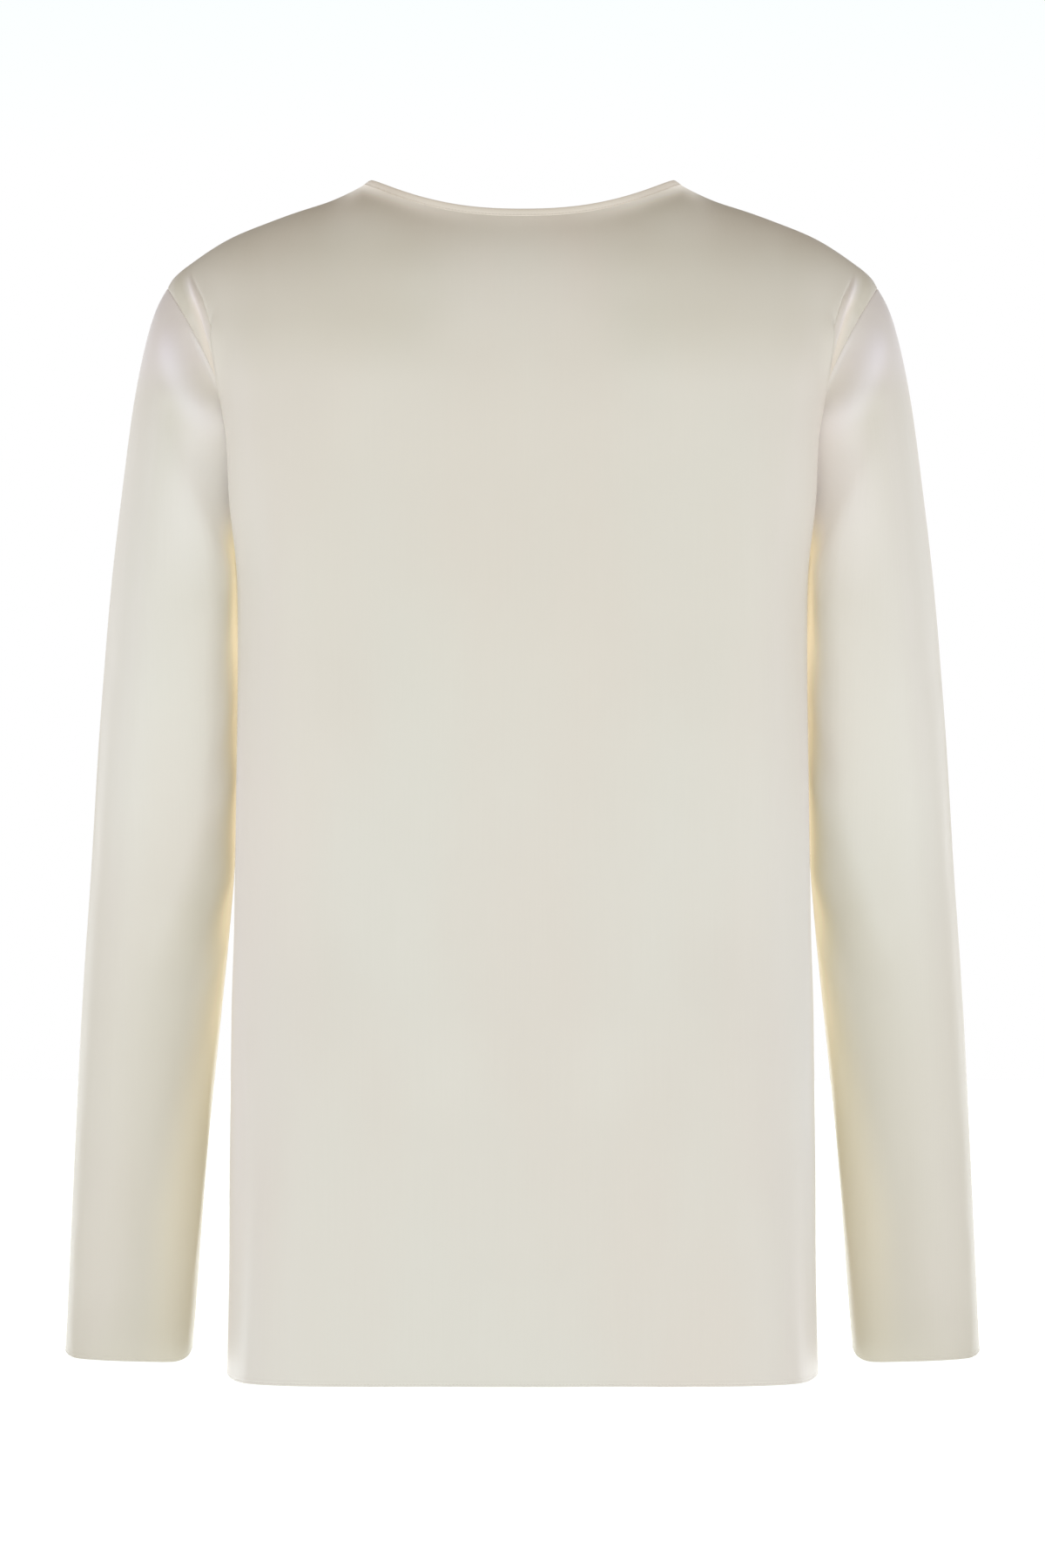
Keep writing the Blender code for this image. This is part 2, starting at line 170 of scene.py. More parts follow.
floor = bpy.data.objects.new("floor", disc_mesh("floor", FLOOR_RADIUS, FLOOR_Z))
bpy.context.scene.collection.objects.link(floor)
floor_paint, floor_tree, floor_shader = new_material("pale_floor")
set_sockets(floor_shader, FLOOR_LOOK)
floor_place = add_node(floor_tree, "ShaderNodeTexCoord")
floor_far = add_node(floor_tree, "ShaderNodeVectorMath", operation="LENGTH")
floor_tree.links.new(floor_place.outputs["Object"], floor_far.inputs[0])
floor_tree.links.new(value_range(floor_tree, floor_far.outputs["Value"], *FLOOR_GLOW),
                     floor_shader.inputs["Emission Strength"])
floor.data.materials.append(floor_paint)
bpy.context.scene.world = tent_world()
for name, place, size, watts, colour in LAMPS:
    data = bpy.data.lights.new(name, "AREA")
    data.shape = "RECTANGLE"
    data.size, data.size_y = size
    data.energy = watts
    data.color = colour
    lamp = bpy.data.objects.new(name, data)
    lamp.location = place
    lamp.visible_camera = False
    away = np.array(place) - np.array(AIM)
    lamp.rotation_euler = (math.atan2(math.hypot(away[0], away[1]), away[2]), 0.0,
                           math.atan2(away[0], -away[1]))
    bpy.context.scene.collection.objects.link(lamp)
bpy.context.scene.view_settings.view_transform = "Standard"
print("lamps", len(LAMPS), "floor at %.2f m" % FLOOR_Z)

# %% [markdown]
# ## Curves
#
# All the shapes here come from a few tables of sizes and small functions: a smooth curve through given
# values, even steps along a curve, a soft step, a window of two such steps and a soft bump. They work on
# whole arrays at once. Sizes are in millimetres up to the moment when a mesh is made.

# %% Curve helpers


def column(table, names, name):
    """One named column of a table as an array."""
    return np.array([row[names.index(name)] for row in table], float)


def smooth_through(knots, values, at):
    """Natural cubic spline: the curve through the values whose bending is zero at both ends."""
    knots = np.asarray(knots, float)
    values = np.asarray(values, float)
    shape = (-1,) + (1,) * (values.ndim - 1)
    step = np.diff(knots)
    slope = np.diff(values, axis=0) / step.reshape(shape)
    size = len(knots)
    system = np.eye(size)
    bend = np.zeros_like(values)
    for i in range(1, size - 1):
        system[i, i - 1:i + 2] = step[i - 1], 2 * (step[i - 1] + step[i]), step[i]
        bend[i] = 6 * (slope[i] - slope[i - 1])
    second = np.linalg.solve(system, bend.reshape(size, -1)).reshape(values.shape)
    at = np.asarray(at, float)
    i = np.clip(np.searchsorted(knots, at) - 1, 0, size - 2)
    h = step[i].reshape(shape)
    a = (knots[i + 1] - at).reshape(shape) / h
    b = 1 - a
    return (a * values[i] + b * values[i + 1]
            + ((a ** 3 - a) * second[i] + (b ** 3 - b) * second[i + 1]) * h ** 2 / 6)


def cell_lengths(grid, axis):
    """Distance of every point of a grid from its first row (axis 0) or column (axis 1), along the cloth."""
    step = np.linalg.norm(np.diff(grid, axis=axis), axis=-1)
    zero = np.zeros_like(np.take(step, [0], axis))
    return np.concatenate((zero, np.cumsum(step, axis=axis)), axis=axis)


def lengths(points):
    """Distance along a polyline from its first point to each point."""
    return cell_lengths(points, 0)


def points_at(at, known, points):
    """Points at the given places of a polyline, from the known places of its own points."""
    return np.stack([np.interp(at, known, points[:, k]) for k in range(points.shape[1])], 1)


def along(points, fractions):
    """Points at the given fractions of the length of a polyline."""
    length = lengths(points)
    return points_at(np.asarray(fractions) * length[-1], length, points)


def read_table(table, at):
    """The columns of a table after its first, read off between its rows by the first."""
    first, *others = np.array(table, float).T
    return [np.interp(at, first, other) for other in others]


def smooth_step(value):
    """0 below 0, 1 above 1 and 3 v^2 - 2 v^3 between."""
    value = np.clip(value, 0, 1)
    return value * value * (3 - 2 * value)


def window(value, low, high, out, top):
    """A soft step up from low to high and down again from out to top."""
    return smooth_step((value - low) / (high - low)) * (1 - smooth_step((value - out) / (top - out)))


def bump(value, middle, width):
    """A soft bump of height 1: exp(-((value - middle) / width)^2)."""
    return np.exp(-((value - middle) / width) ** 2)


def unit(vectors):
    """Vectors scaled to length 1 along the last axis."""
    return vectors / np.maximum(np.linalg.norm(vectors, axis=-1, keepdims=True), 1e-12)


print("half way up a soft step", smooth_step(0.5))

# %% [markdown]
# ## The form of the body
#
# A pattern cutter drafts a blouse from girths and depths at a few heights. The same measures drive this
# form: each level of the body is a squarish arc from the centre of the back (or front) to the side seam, and
# the measures between the levels follow a smooth curve. Above the armhole's widest place the panel arches
# over the shoulder to the neck and the shoulder seam. A cloth simulation could find such a form too, but a
# formula keeps the seams of neighbouring pieces on exactly the same lines.

# %% Measures of the body
SECTION = ("z_mid", "z_side", "depth", "fold_x", "side_x", "square")
BACK_SECTIONS = (
    (-689, -689, 122, 169.7, 168.5, 5.0),
    (-551, -551, 119, 167.6, 166.0, 4.4),
    (-430, -430, 114, 167.0, 163.0, 4.0),
    (-320, -320, 112, 165.8, 160.0, 4.0),
    (-215, -215, 113, 166.4, 160.0, 4.0),
    (-150, -165, 110.5, 170.0, 161.5, 4.0),
    (-113, -128, 106.5, 172.6, 173.0, 3.8),
)
FRONT_SECTIONS = (
    (-689, -689, 120, 169.5, 168.5, 3.4),
    (-551, -551, 117, 167.0, 166.0, 3.3),
    (-430, -430, 112, 166.6, 163.0, 3.2),
    (-320, -320, 113, 165.6, 160.0, 3.2),
    (-240, -215, 116, 166.2, 160.0, 3.2),
    (-216, -165, 115, 168.4, 161.5, 3.2),
    (-200, -128, 113, 172.0, 173.0, 3.2),
)
TUCK_FROM = 0.6
HEM_Z = -689.0
# Height, width and reach upwards of the rounding at the side seam
HEM_CORNER = (5.0, 90.0, 40.0)
HALF_GIRTH = 262.0

UNDERARM_Z = -215.0
ARMHOLE_WIDE_Z = -128.0
BACK_ARMHOLE_DEPTH = 45.0
FRONT_ARMHOLE_DEPTH = 41.0
ARMHOLE_BOTTOM = 1.7
ARMHOLE_SIDE = 2.1

SHOULDER_LINE = ((91.4, -2.9), (105, -10.4), (126, -17.6), (150, -26.1), (169, -34.0), (182.6, -42.0),
                 (194, -50.0), (202, -57.0), (205.5, -62.6))
SHOULDER_TIP_Y = -3.0

EDGE_NECK = {"half": 87.4, "top": 0.0, "back_y": 65.0, "back_drop": 21.2, "front_y": 105.0,
             "front_drop": 155.0}
SEAM_NECK = {"half": 91.4, "top": -2.9, "back_y": 67.4, "back_drop": 22.5, "front_y": 106.6,
             "front_drop": 160.8}
BACK_NECK_CURVE = 2.3
V_BOW = 0.25

NECK_SHARE = 0.35
SHOULDER_CLOSE = 0.75
KEEP_SHARE = 0.6
BACK_ARCH = 2.2
FRONT_ARCH = 1.95
BACK_CENTRE_ARCH = 0.80
FRONT_CENTRE_ARCH = 0.55
print("body sections", len(BACK_SECTIONS), "behind and", len(FRONT_SECTIONS), "in front")

# %% [markdown]
# The lines that pieces share come first: the neck, an ellipse seen from above that dips behind and falls to
# a V in front, and the shoulder, a smooth curve through a few heights. Each is stepped off by its length.

# %% Lines of the neck and the shoulder


def neck_line(neck, back, fractions):
    """Half of the neck from its middle to the high shoulder point: x = half sin, y = depth cos, and the
    height falls towards the middle with sin^2.3 behind and with sin in front."""
    rise = np.sin(np.radians(np.linspace(0, 90, 361)))
    away = np.sqrt(1 - rise ** 2)
    if back:
        points = np.stack([neck["half"] * rise, neck["back_y"] * away,
                           neck["top"] - neck["back_drop"] * (1 - rise ** BACK_NECK_CURVE)], 1)
    else:
        points = np.stack([neck["half"] * rise * (1 + V_BOW * (1 - rise)), -neck["front_y"] * away,
                           neck["top"] - neck["front_drop"] * (1 - rise)], 1)
    return along(points, fractions)


def shoulder_line(fractions):
    """The shoulder seam from the neck to the sleeve, sinking a little forwards at its tip."""
    points = np.array(SHOULDER_LINE, float)
    knots = lengths(points)
    fine = np.linspace(0, knots[-1], 241)
    xz = smooth_through(knots, points, fine)
    y = SHOULDER_TIP_Y * smooth_step(fine / knots[-1])
    return along(np.stack([xz[:, 0], y, xz[:, 1]], 1), fractions)


def top_edge(back, across):
    """The upper edge of half a panel: the neck seam up to NECK_SHARE, then the shoulder seam."""
    neck = neck_line(SEAM_NECK, back, np.clip(across / NECK_SHARE, 0, 1))
    share = np.clip((across - NECK_SHARE) / (1 - NECK_SHARE), 0, 1) ** SHOULDER_CLOSE
    edge = np.where((across <= NECK_SHARE)[:, None], neck, shoulder_line(share))
    return edge if back else edge * (1, -1, 1)


print("high shoulder point", top_edge(True, np.array([NECK_SHARE]))[0])

# %% [markdown]
# Now the surface itself. Below the arch each row is an arc of a rounded rectangle. Its side is drawn in a
# little where the cloth tucks behind its own fold, and its end stops at the armhole's edge. Above, each row
# is a step of an arch that starts upright at the shoulder blades and ends flat at the seam. Where the two
# formulas meet, a short running average along each column takes the last trace of the join out, because
# satin shows the smallest break in a curve.

# %% Surface of a panel
BODY_STEP = 3.7
ARMHOLE_STEPS = 48
TOP_STEPS = 56
HEM_ROWS = (0, 0.06, 0.2, 0.4, 0.65, 0.95, 1.2, 1.4, 1.6, 1.85, 2.2, 2.6, 2.9, 3.2, 3.8, 5, 7, 9.5, 12.5)
EDGE_COLUMNS = (0, 0.08, 0.25, 0.5, 0.85, 1.3, 2.0, 3.2, 4.8)
COLUMN_STEP = 3.6
FINE_REACH = 38.0
FINE_STEP = 1.3
BLEND_WIDTH = 11.0
BLEND_REACH = 34.0
BLEND_MARGIN = 1.6
TOP_BLEND = 22.0
ARMHOLE_CLOSE = 1.8
ARCH_OUT = 1.25
LEAN_STEP = 2.0


def armhole_depth(z_side, deepest):
    """Distance of the armhole's edge from the side seams' plane: a U that ends upright."""
    rise = np.clip((z_side - UNDERARM_Z) / (ARMHOLE_WIDE_Z - UNDERARM_Z), 0, 1)
    return deepest * (1 - (1 - rise) ** ARMHOLE_BOTTOM) ** (1 / ARMHOLE_SIDE)


def body_rows(sections, deepest, levels, across):
    """Rows of half a panel. With t from 0 to 90 degrees, out = sin(t)^(2/square) and back =
    cos(t)^(2/square) give x = fold_x out, drawn in to side_x as back falls, and y = depth back."""
    knots = column(sections, SECTION, "z_side")
    z_mid, depth, fold_x, side_x, square = (
        smooth_through(knots, column(sections, SECTION, name), levels)[:, None]
        for name in ("z_mid", "depth", "fold_x", "side_x", "square"))
    turn = np.radians(np.linspace(0, 90, 1201))
    out = np.sin(turn) ** (2 / square)
    back = np.cos(turn) ** (2 / square)
    x = fold_x * out + (side_x - fold_x) * smooth_step((TUCK_FROM - back) / TUCK_FROM)
    y = depth * back
    share = cell_lengths(np.stack([x, y], -1), 1)
    share /= share[:, -1:]
    edge = -armhole_depth(levels, deepest)
    rows = []
    for i, z_side in enumerate(levels):
        end = np.interp(edge[i], -y[i], share[i])
        squeezed = KEEP_SHARE + (end - KEEP_SHARE) * (across - KEEP_SHARE) / (1 - KEEP_SHARE)
        place = np.where(across < KEEP_SHARE, across, squeezed)
        z = z_side + (z_mid[i, 0] - z_side) * np.cos(0.5 * math.pi * place) ** 2
        rows.append(np.stack([np.interp(place, share[i], x[i]), np.interp(place, share[i], y[i]), z], 1))
    return np.array(rows)


def panel_columns():
    """Places of the columns over half a panel, from 0 at the centre to 1 at the side. They stand closer
    beside the armhole, where the cloth has its sharpest folds, and closest at the very edge."""
    neck = np.linspace(0, NECK_SHARE, round(NECK_SHARE * HALF_GIRTH / COLUMN_STEP) + 1)
    edge = 1 - np.array(EDGE_COLUMNS[::-1]) / HALF_GIRTH
    fine = np.linspace(edge[0] - FINE_REACH / HALF_GIRTH, edge[0], round(FINE_REACH / FINE_STEP) + 1)
    middle = np.linspace(NECK_SHARE, fine[0], round((fine[0] - NECK_SHARE) * HALF_GIRTH / COLUMN_STEP) + 1)
    return np.concatenate((neck[:-1], middle[:-1], fine[:-1], edge))


def panel_levels(power):
    """Heights of the rows up to the armhole's widest place, and the steps of the arch above."""
    start = HEM_Z + HEM_ROWS[-1]
    body = np.linspace(start, UNDERARM_Z, round((UNDERARM_Z - start) / BODY_STEP) + 1)
    rise = np.linspace(0, 1, ARMHOLE_STEPS + 1)[1:] ** ARMHOLE_CLOSE
    armhole = UNDERARM_Z + (ARMHOLE_WIDE_Z - UNDERARM_Z) * rise
    top = np.sin(np.radians(np.linspace(0, 90, TOP_STEPS + 1)[1:])) ** (2 / power)
    return np.concatenate((HEM_Z + np.array(HEM_ROWS[:-1]), body, armhole)), top


def even_out(grid, row, width, reach):
    """Running average along each column round one row: weights fall with exp(-(distance/width)^2 / 2),
    and the result fades into the old surface towards the reach."""
    place = cell_lengths(grid, 0)
    place = place - place[row]
    near = (np.abs(place) < BLEND_MARGIN * reach).any(1)
    part, at = grid[near], place[near]
    spacing = np.gradient(at, axis=0)
    weight = np.exp(-0.5 * ((at[:, None] - at[None]) / width) ** 2) * spacing[None]
    mean = np.einsum("ijc,jck->ick", weight, part) / weight.sum(1)[:, :, None]
    fade = 1 - smooth_step(np.abs(at) / reach)
    result = grid.copy()
    result[near] = part + (mean - part) * fade[:, :, None]
    return result


def panel_surface(back):
    """Half a panel as rows from the hem up, its columns from the centre to the side. Beside the side seam the
    hem is drawn up by height times a soft step over its width, which fades above over its reach."""
    sections = BACK_SECTIONS if back else FRONT_SECTIONS
    deepest = BACK_ARMHOLE_DEPTH if back else FRONT_ARMHOLE_DEPTH
    power = BACK_ARCH if back else FRONT_ARCH
    centre_arch = BACK_CENTRE_ARCH if back else FRONT_CENTRE_ARCH
    across = panel_columns()
    levels, steps = panel_levels(power)
    body = body_rows(sections, deepest, levels, across)
    start = body[-1]
    below = body_rows(sections, deepest, levels[-1:] - LEAN_STEP, across)[0]
    end = top_edge(back, across)
    rise = end[:, 2] - start[:, 2]
    lean = (start - below)[:, :2] / (start - below)[:, 2:]
    arch = centre_arch + (1 - centre_arch) * smooth_step(across / NECK_SHARE)
    s = steps[:, None]
    drop = (1 - (1 - (arch * s) ** power) ** (1 / power)) / (1 - (1 - arch ** power) ** (1 / power))
    carry = s * (1 - s) ** 2
    x = start[:, 0] + (end[:, 0] - start[:, 0]) * s ** ARCH_OUT + lean[:, 0] * rise * carry
    y = start[:, 1] + (end[:, 1] - start[:, 1]) * drop + lean[:, 1] * rise * carry
    z = start[:, 2] + rise * s
    grid = np.concatenate([body, np.stack([x, y, z], 2)])
    edge = grid[:, -1].copy()
    grid = even_out(grid, len(levels) - 1, BLEND_WIDTH, BLEND_REACH)
    grid[:, -1] = edge
    corner = int(np.searchsorted(across, NECK_SHARE))
    smooth = even_out(grid.swapaxes(0, 1), corner, BLEND_WIDTH, BLEND_REACH).swapaxes(0, 1)
    top = lengths(grid[:, corner])
    grid += (smooth - grid) * smooth_step((top[-1] - top) / TOP_BLEND)[:, None, None]
    height, wide, reach = HEM_CORNER
    rise = height * (1 - smooth_step((1 - across) * HALF_GIRTH / wide))
    grid[:, :, 2] += rise * (1 - smooth_step((grid[:, :, 2] - HEM_Z) / reach))
    return grid * (1, 1 if back else -1, 1)


UNDERARM_ROW = len(panel_levels(BACK_ARCH)[0]) - 1 - ARMHOLE_STEPS
back_form = panel_surface(True)
front_form = panel_surface(False)
print("back grid", back_form.shape, "front grid", front_form.shape)

# %% [markdown]
# ## The form of a sleeve
#
# A sleeve is cut flat, sewn to a tube along its underarm seam and set into the armhole. Its first ring is the
# armhole's own edge. The rings below are rounded ovals between a point beside the body and a point on the
# outer edge, and every lengthwise line runs through the rings as a smooth curve. Lofting with a tool would
# give the same tube, but here each line starts exactly on the seam. The grid begins and ends at the underarm
# seam, as the cut piece does.

# %% Surface of the left sleeve
RING = ("in_x", "in_z", "out_x", "out_z", "half_depth", "mid_y")
SLEEVE_RINGS = (
    (165.8, -218.0, 213.5, -80, 51.8, 1.8),
    (166.2, -227.0, 222.3, -117, 58.2, 3.2),
    (165.5, -241.0, 229.3, -165, 61.4, 3.4),
    (165.0, -263.0, 236.1, -222, 62, 4),
    (165.0, -300.0, 241.2, -279, 59, 5),
    (165.5, -345.0, 245.4, -335, 54, 4),
    (167.5, -400.0, 249.3, -398, 49, 1),
    (172.0, -450.0, 253.2, -450, 46, -4),
    (182.8, -551.0, 259.7, -551, 40, -20),
    (194.0, -686.0, 267.2, -684, 34.5, -45),
)
SLEEVE_SQUARE = 2.2
SLEEVE_INNER_SQUARE = 3.4
SLEEVE_STEP = 3.6
CAP_STEP = 1.9
CAP_REACH = 75.0
SLEEVE_GIRTH = 230.0
SLEEVE_COLUMNS = 148
# Place round the cuff, height and width of the rounding there
CUFF_CORNERS = ((0.5, 6.2, 33.0), (0.0, 2.6, 26.0))
CUFF_FADE = 30.0


def sleeve_places():
    """Places of the columns round the sleeve: 0.5 at the underarm seam, 1 at the outer edge and 1.5 at the
    seam again, closer together beside the seam."""
    edge = np.array(EDGE_COLUMNS) / SLEEVE_GIRTH
    middle = np.linspace(0.5 + edge[-1], 1.5 - edge[-1], SLEEVE_COLUMNS + 1)
    return np.concatenate((0.5 + edge[:-1], middle, 1.5 - edge[-2::-1]))


def armhole_ring(places):
    """The armhole's edge at the given places: 0 at the shoulder's tip, back of the arm first, 0.5 at the
    underarm, then up the front."""
    back = back_form[UNDERARM_ROW:, -1][::-1]
    front = front_form[UNDERARM_ROW:, -1]
    half_back = 0.5 * lengths(back) / lengths(back)[-1]
    half_front = 0.5 + 0.5 * lengths(front) / lengths(front)[-1]
    points = np.concatenate((back, front[1:]))
    known = np.concatenate((half_back, half_front[1:]))
    return points_at(places % 1.0, known, points)


def sleeve_surface():
    """The left sleeve, row by row from the armhole to the cuff. A ring is an oval with a = cos(t)^(2/q)
    and b = sin(t)^(2/q): a runs between its inner and outer point and b over its depth. The power q is 2.2,
    and more beside the back, where the sleeve lies flatter before it turns in beside the body. At the cuff
    both sides are drawn up by soft steps of the distance from the place, which fade over CUFF_FADE."""
    places = sleeve_places()
    turn = np.radians(np.linspace(0, 360, 1441))
    square = np.where((turn > 0.5 * math.pi) & (turn < math.pi), SLEEVE_INNER_SQUARE, SLEEVE_SQUARE)
    a = np.sign(np.cos(turn)) * np.abs(np.cos(turn)) ** (2 / square)
    b = np.sign(np.sin(turn)) * np.abs(np.sin(turn)) ** (2 / square)
    rings = [armhole_ring(places)]
    for row in SLEEVE_RINGS:
        ring = dict(zip(RING, row))
        x = 0.5 * (ring["out_x"] + ring["in_x"]) + 0.5 * (ring["out_x"] - ring["in_x"]) * a
        z = 0.5 * (ring["out_z"] + ring["in_z"]) + 0.5 * (ring["out_z"] - ring["in_z"]) * a
        rings.append(along(np.stack([x, ring["mid_y"] + ring["half_depth"] * b, z], 1), places % 1.0))
    rings = np.stack(rings)
    gaps = np.linalg.norm(np.diff(rings, axis=0), axis=2).mean(1)
    knots = np.concatenate(([0.0], np.cumsum(gaps)))
    first, last = EDGE_COLUMNS[-1], knots[-1] - HEM_ROWS[-1]
    cap = np.linspace(first, CAP_REACH, round((CAP_REACH - first) / CAP_STEP) + 1)
    middle = np.linspace(CAP_REACH, last, round((last - CAP_REACH) / SLEEVE_STEP) + 1)
    at = np.concatenate((EDGE_COLUMNS[:-1], cap[:-1], middle[:-1], knots[-1] - np.array(HEM_ROWS[::-1])))
    surface = smooth_through(knots, rings, at)
    fade = 1 - smooth_step((knots[-1] - at) / CUFF_FADE)
    for place, height, wide in CUFF_CORNERS:
        off = np.abs((places - place + 0.5) % 1.0 - 0.5) * SLEEVE_GIRTH
        surface[:, :, 2] += height * (1 - smooth_step(off / wide)) * fade[:, None]
    return surface


sleeve_form = sleeve_surface()
print("sleeve grid", sleeve_form.shape)

# %% [markdown]
# ## Creases
#
# Cloth this soft falls into shallow troughs and ridges: pulls from the armhole, long vertical waves down the
# body, and breaks round the elbow. They could be sculpted or simulated, but a table of a few numbers each
# puts them exactly where they belong. A crease is a curve through three points with a width and a height,
# and the cloth moves along its normal by height exp(-(distance / width)^2), fading towards both ends. A
# second width makes the two flanks unlike: a fold that lies over beside the armhole has one steep side.
# Points are given by the cloth's own length from the centre (or round the sleeve, 0 at the outer edge and
# 0.5 at the seam) and by the height. A positive height is a ridge outside.

# %% Tables of creases
# Each row: across and z of its first, middle and last point, width, height and, if unlike, the far width
BACK_CREASES = (
    (176, -70, 173, -152, 196, -235, 22, 3.4),
    (89, -90, 94, -210, 98, -330, 26, -2.2),
    (136, -150, 141, -285, 148, -420, 22, 1.6),
    (40, -480, 46, -585, 53, -700, 24, -2.6),
    (109, -430, 120, -560, 131, -700, 26, 2.2),
    (166, -500, 175, -595, 184, -700, 20, -2.0),
    (206, -58, 190.6, -92, 194, -132, 8.0, 1.4, 0.9),
    (207, -58, 191.8, -92, 195, -132, 0.9, -2.1, 1.0),
    (187, -76, 194.5, -113, 205, -168, 8.0, 1.6, 0.9),
    (188, -76, 195.7, -113, 206, -168, 0.9, -2.2, 1.1),
    (212, -54, 200.0, -78, 194, -108, 1.2, 1.5, 2.8),
    (212, -70, 201.0, -90, 203, -128, 3.0, -1.0),
    (-90, -112, 30, -112, 158, -120, 38, 2.2),
    (172, -250, 178, -300, 176, -372, 9.0, -0.9),
    (60, -55, 70, -100, 76, -160, 13, -0.7),
    (20, -95, 26, -190, 22, -300, 17, 0.6),
    (66, -250, 62, -360, 70, -470, 13, 0.7),
    (118, -300, 112, -390, 100, -480, 12, -0.7),
    (12, -330, 8, -430, 16, -540, 14, -0.5),
    (78, -500, 84, -600, 80, -700, 12, 0.8),
    (148, -560, 152, -630, 158, -700, 9, 0.8),
    (196, -430, 206, -520, 202, -640, 11, 0.8),
    (214, -250, 222, -360, 226, -480, 12, -0.9),
    (22, -610, 20, -650, 24, -700, 9, 0.5),
)
FRONT_CREASES = (
    (216, -90, 180, -165, 198, -240, 22, 2.4),
    (73, -230, 76, -345, 81, -460, 28, -2.4),
    (128, -200, 133, -360, 145, -520, 24, 2.0),
    (29, -420, 33, -555, 37, -700, 26, -2.6),
    (96, -470, 100, -580, 105, -700, 24, 2.4),
    (161, -380, 168, -535, 175, -700, 22, -2.2),
    (232, -92, 214, -118, 196, -150, 4.2, 0.8),
    (222, -96, 204, -126, 188, -160, 3.0, -0.7),
    (62, -100, 66, -150, 74, -215, 12, 0.8),
    (100, -70, 98, -130, 104, -190, 13, -0.8),
    (10, -185, 16, -240, 24, -310, 10, 0.8),
    (4, -190, 5, -280, 2, -380, 9, -0.5),
    (186, -260, 192, -330, 190, -420, 10, -0.8),
    (54, -430, 60, -520, 58, -640, 12, 0.7),
    (130, -540, 134, -620, 140, -700, 11, 0.8),
    (210, -400, 214, -500, 208, -620, 12, 0.8),
    (8, -560, 4, -630, 6, -700, 10, 0.6),
)
SLEEVE_CREASES = (
    (0.470, -405, 0.360, -440, 0.250, -475, 13, -2.0),
    (0.470, -385, 0.345, -412, 0.220, -440, 13, 1.4),
    (0.365, -285, 0.338, -390, 0.255, -485, 7, -1.3),
    (0.580, -400, 0.670, -430, 0.760, -460, 14, -3.0),
    (0.600, -170, 0.730, -192, 0.860, -215, 17, -2.2),
    (0.090, -80, 0.175, -118, 0.285, -150, 3.6, 1.9),
    (0.120, -86, 0.198, -114, 0.270, -142, 3.2, -1.9),
    (0.130, -118, 0.215, -136, 0.290, -162, 5.5, 1.2),
    (0.460, -215, 0.370, -235, 0.300, -275, 8, 0.9),
    (0.460, -240, 0.400, -268, 0.330, -310, 8, -0.9),
    (0.470, -300, 0.400, -322, 0.360, -350, 8, -0.8),
    (0.480, -330, 0.400, -350, 0.310, -372, 8, 0.9),
    (0.060, -300, 0.045, -350, 0.050, -410, 3.2, -0.8),
    (0.100, -280, 0.120, -340, 0.110, -420, 10, 0.8),
    (0.200, -250, 0.190, -320, 0.210, -390, 12, 0.7),
    (0.470, -438, 0.400, -452, 0.330, -478, 6, 1.0),
    (0.460, -470, 0.390, -500, 0.350, -560, 9, -1.2),
    (0.300, -480, 0.290, -540, 0.330, -610, 11, 0.9),
    (0.440, -520, 0.430, -590, 0.390, -650, 8, 0.9),
    (0.120, -520, 0.140, -590, 0.110, -665, 11, -0.8),
    (0.230, -590, 0.170, -640, 0.100, -672, 8, -1.0),
    (0.190, -560, 0.120, -600, 0.060, -640, 9, 0.7),
    (0.560, -205, 0.640, -225, 0.720, -262, 9, 0.9),
    (0.540, -250, 0.620, -275, 0.700, -320, 9, -0.8),
    (0.560, -372, 0.650, -388, 0.760, -412, 8, 1.2),
    (0.620, -480, 0.700, -510, 0.720, -580, 10, 0.9),
    (0.820, -270, 0.800, -350, 0.830, -440, 11, -0.8),
    (0.560, -520, 0.580, -590, 0.640, -660, 9, -0.8),
    (0.860, -520, 0.840, -600, 0.880, -680, 12, 0.8),
)
CREASE_STEPS = 24
CREASE_FADE = 0.32
PUCKER_LENGTH = 11.0
PUCKER_WANDER = 3.0
PUCKER_WANDER_LENGTH = 31.0
print("creases:", len(BACK_CREASES), len(FRONT_CREASES), len(SLEEVE_CREASES))

# %% [markdown]
# The distance from every point of the cloth to every piece of a crease's curve is one array, and its
# smallest value along the curve is the distance that counts. Seams get fine puckers too, ripples about
# 11 mm long that fade within a few millimetres, where the thread holds the cloth a little short.

# %% Lift of the creases


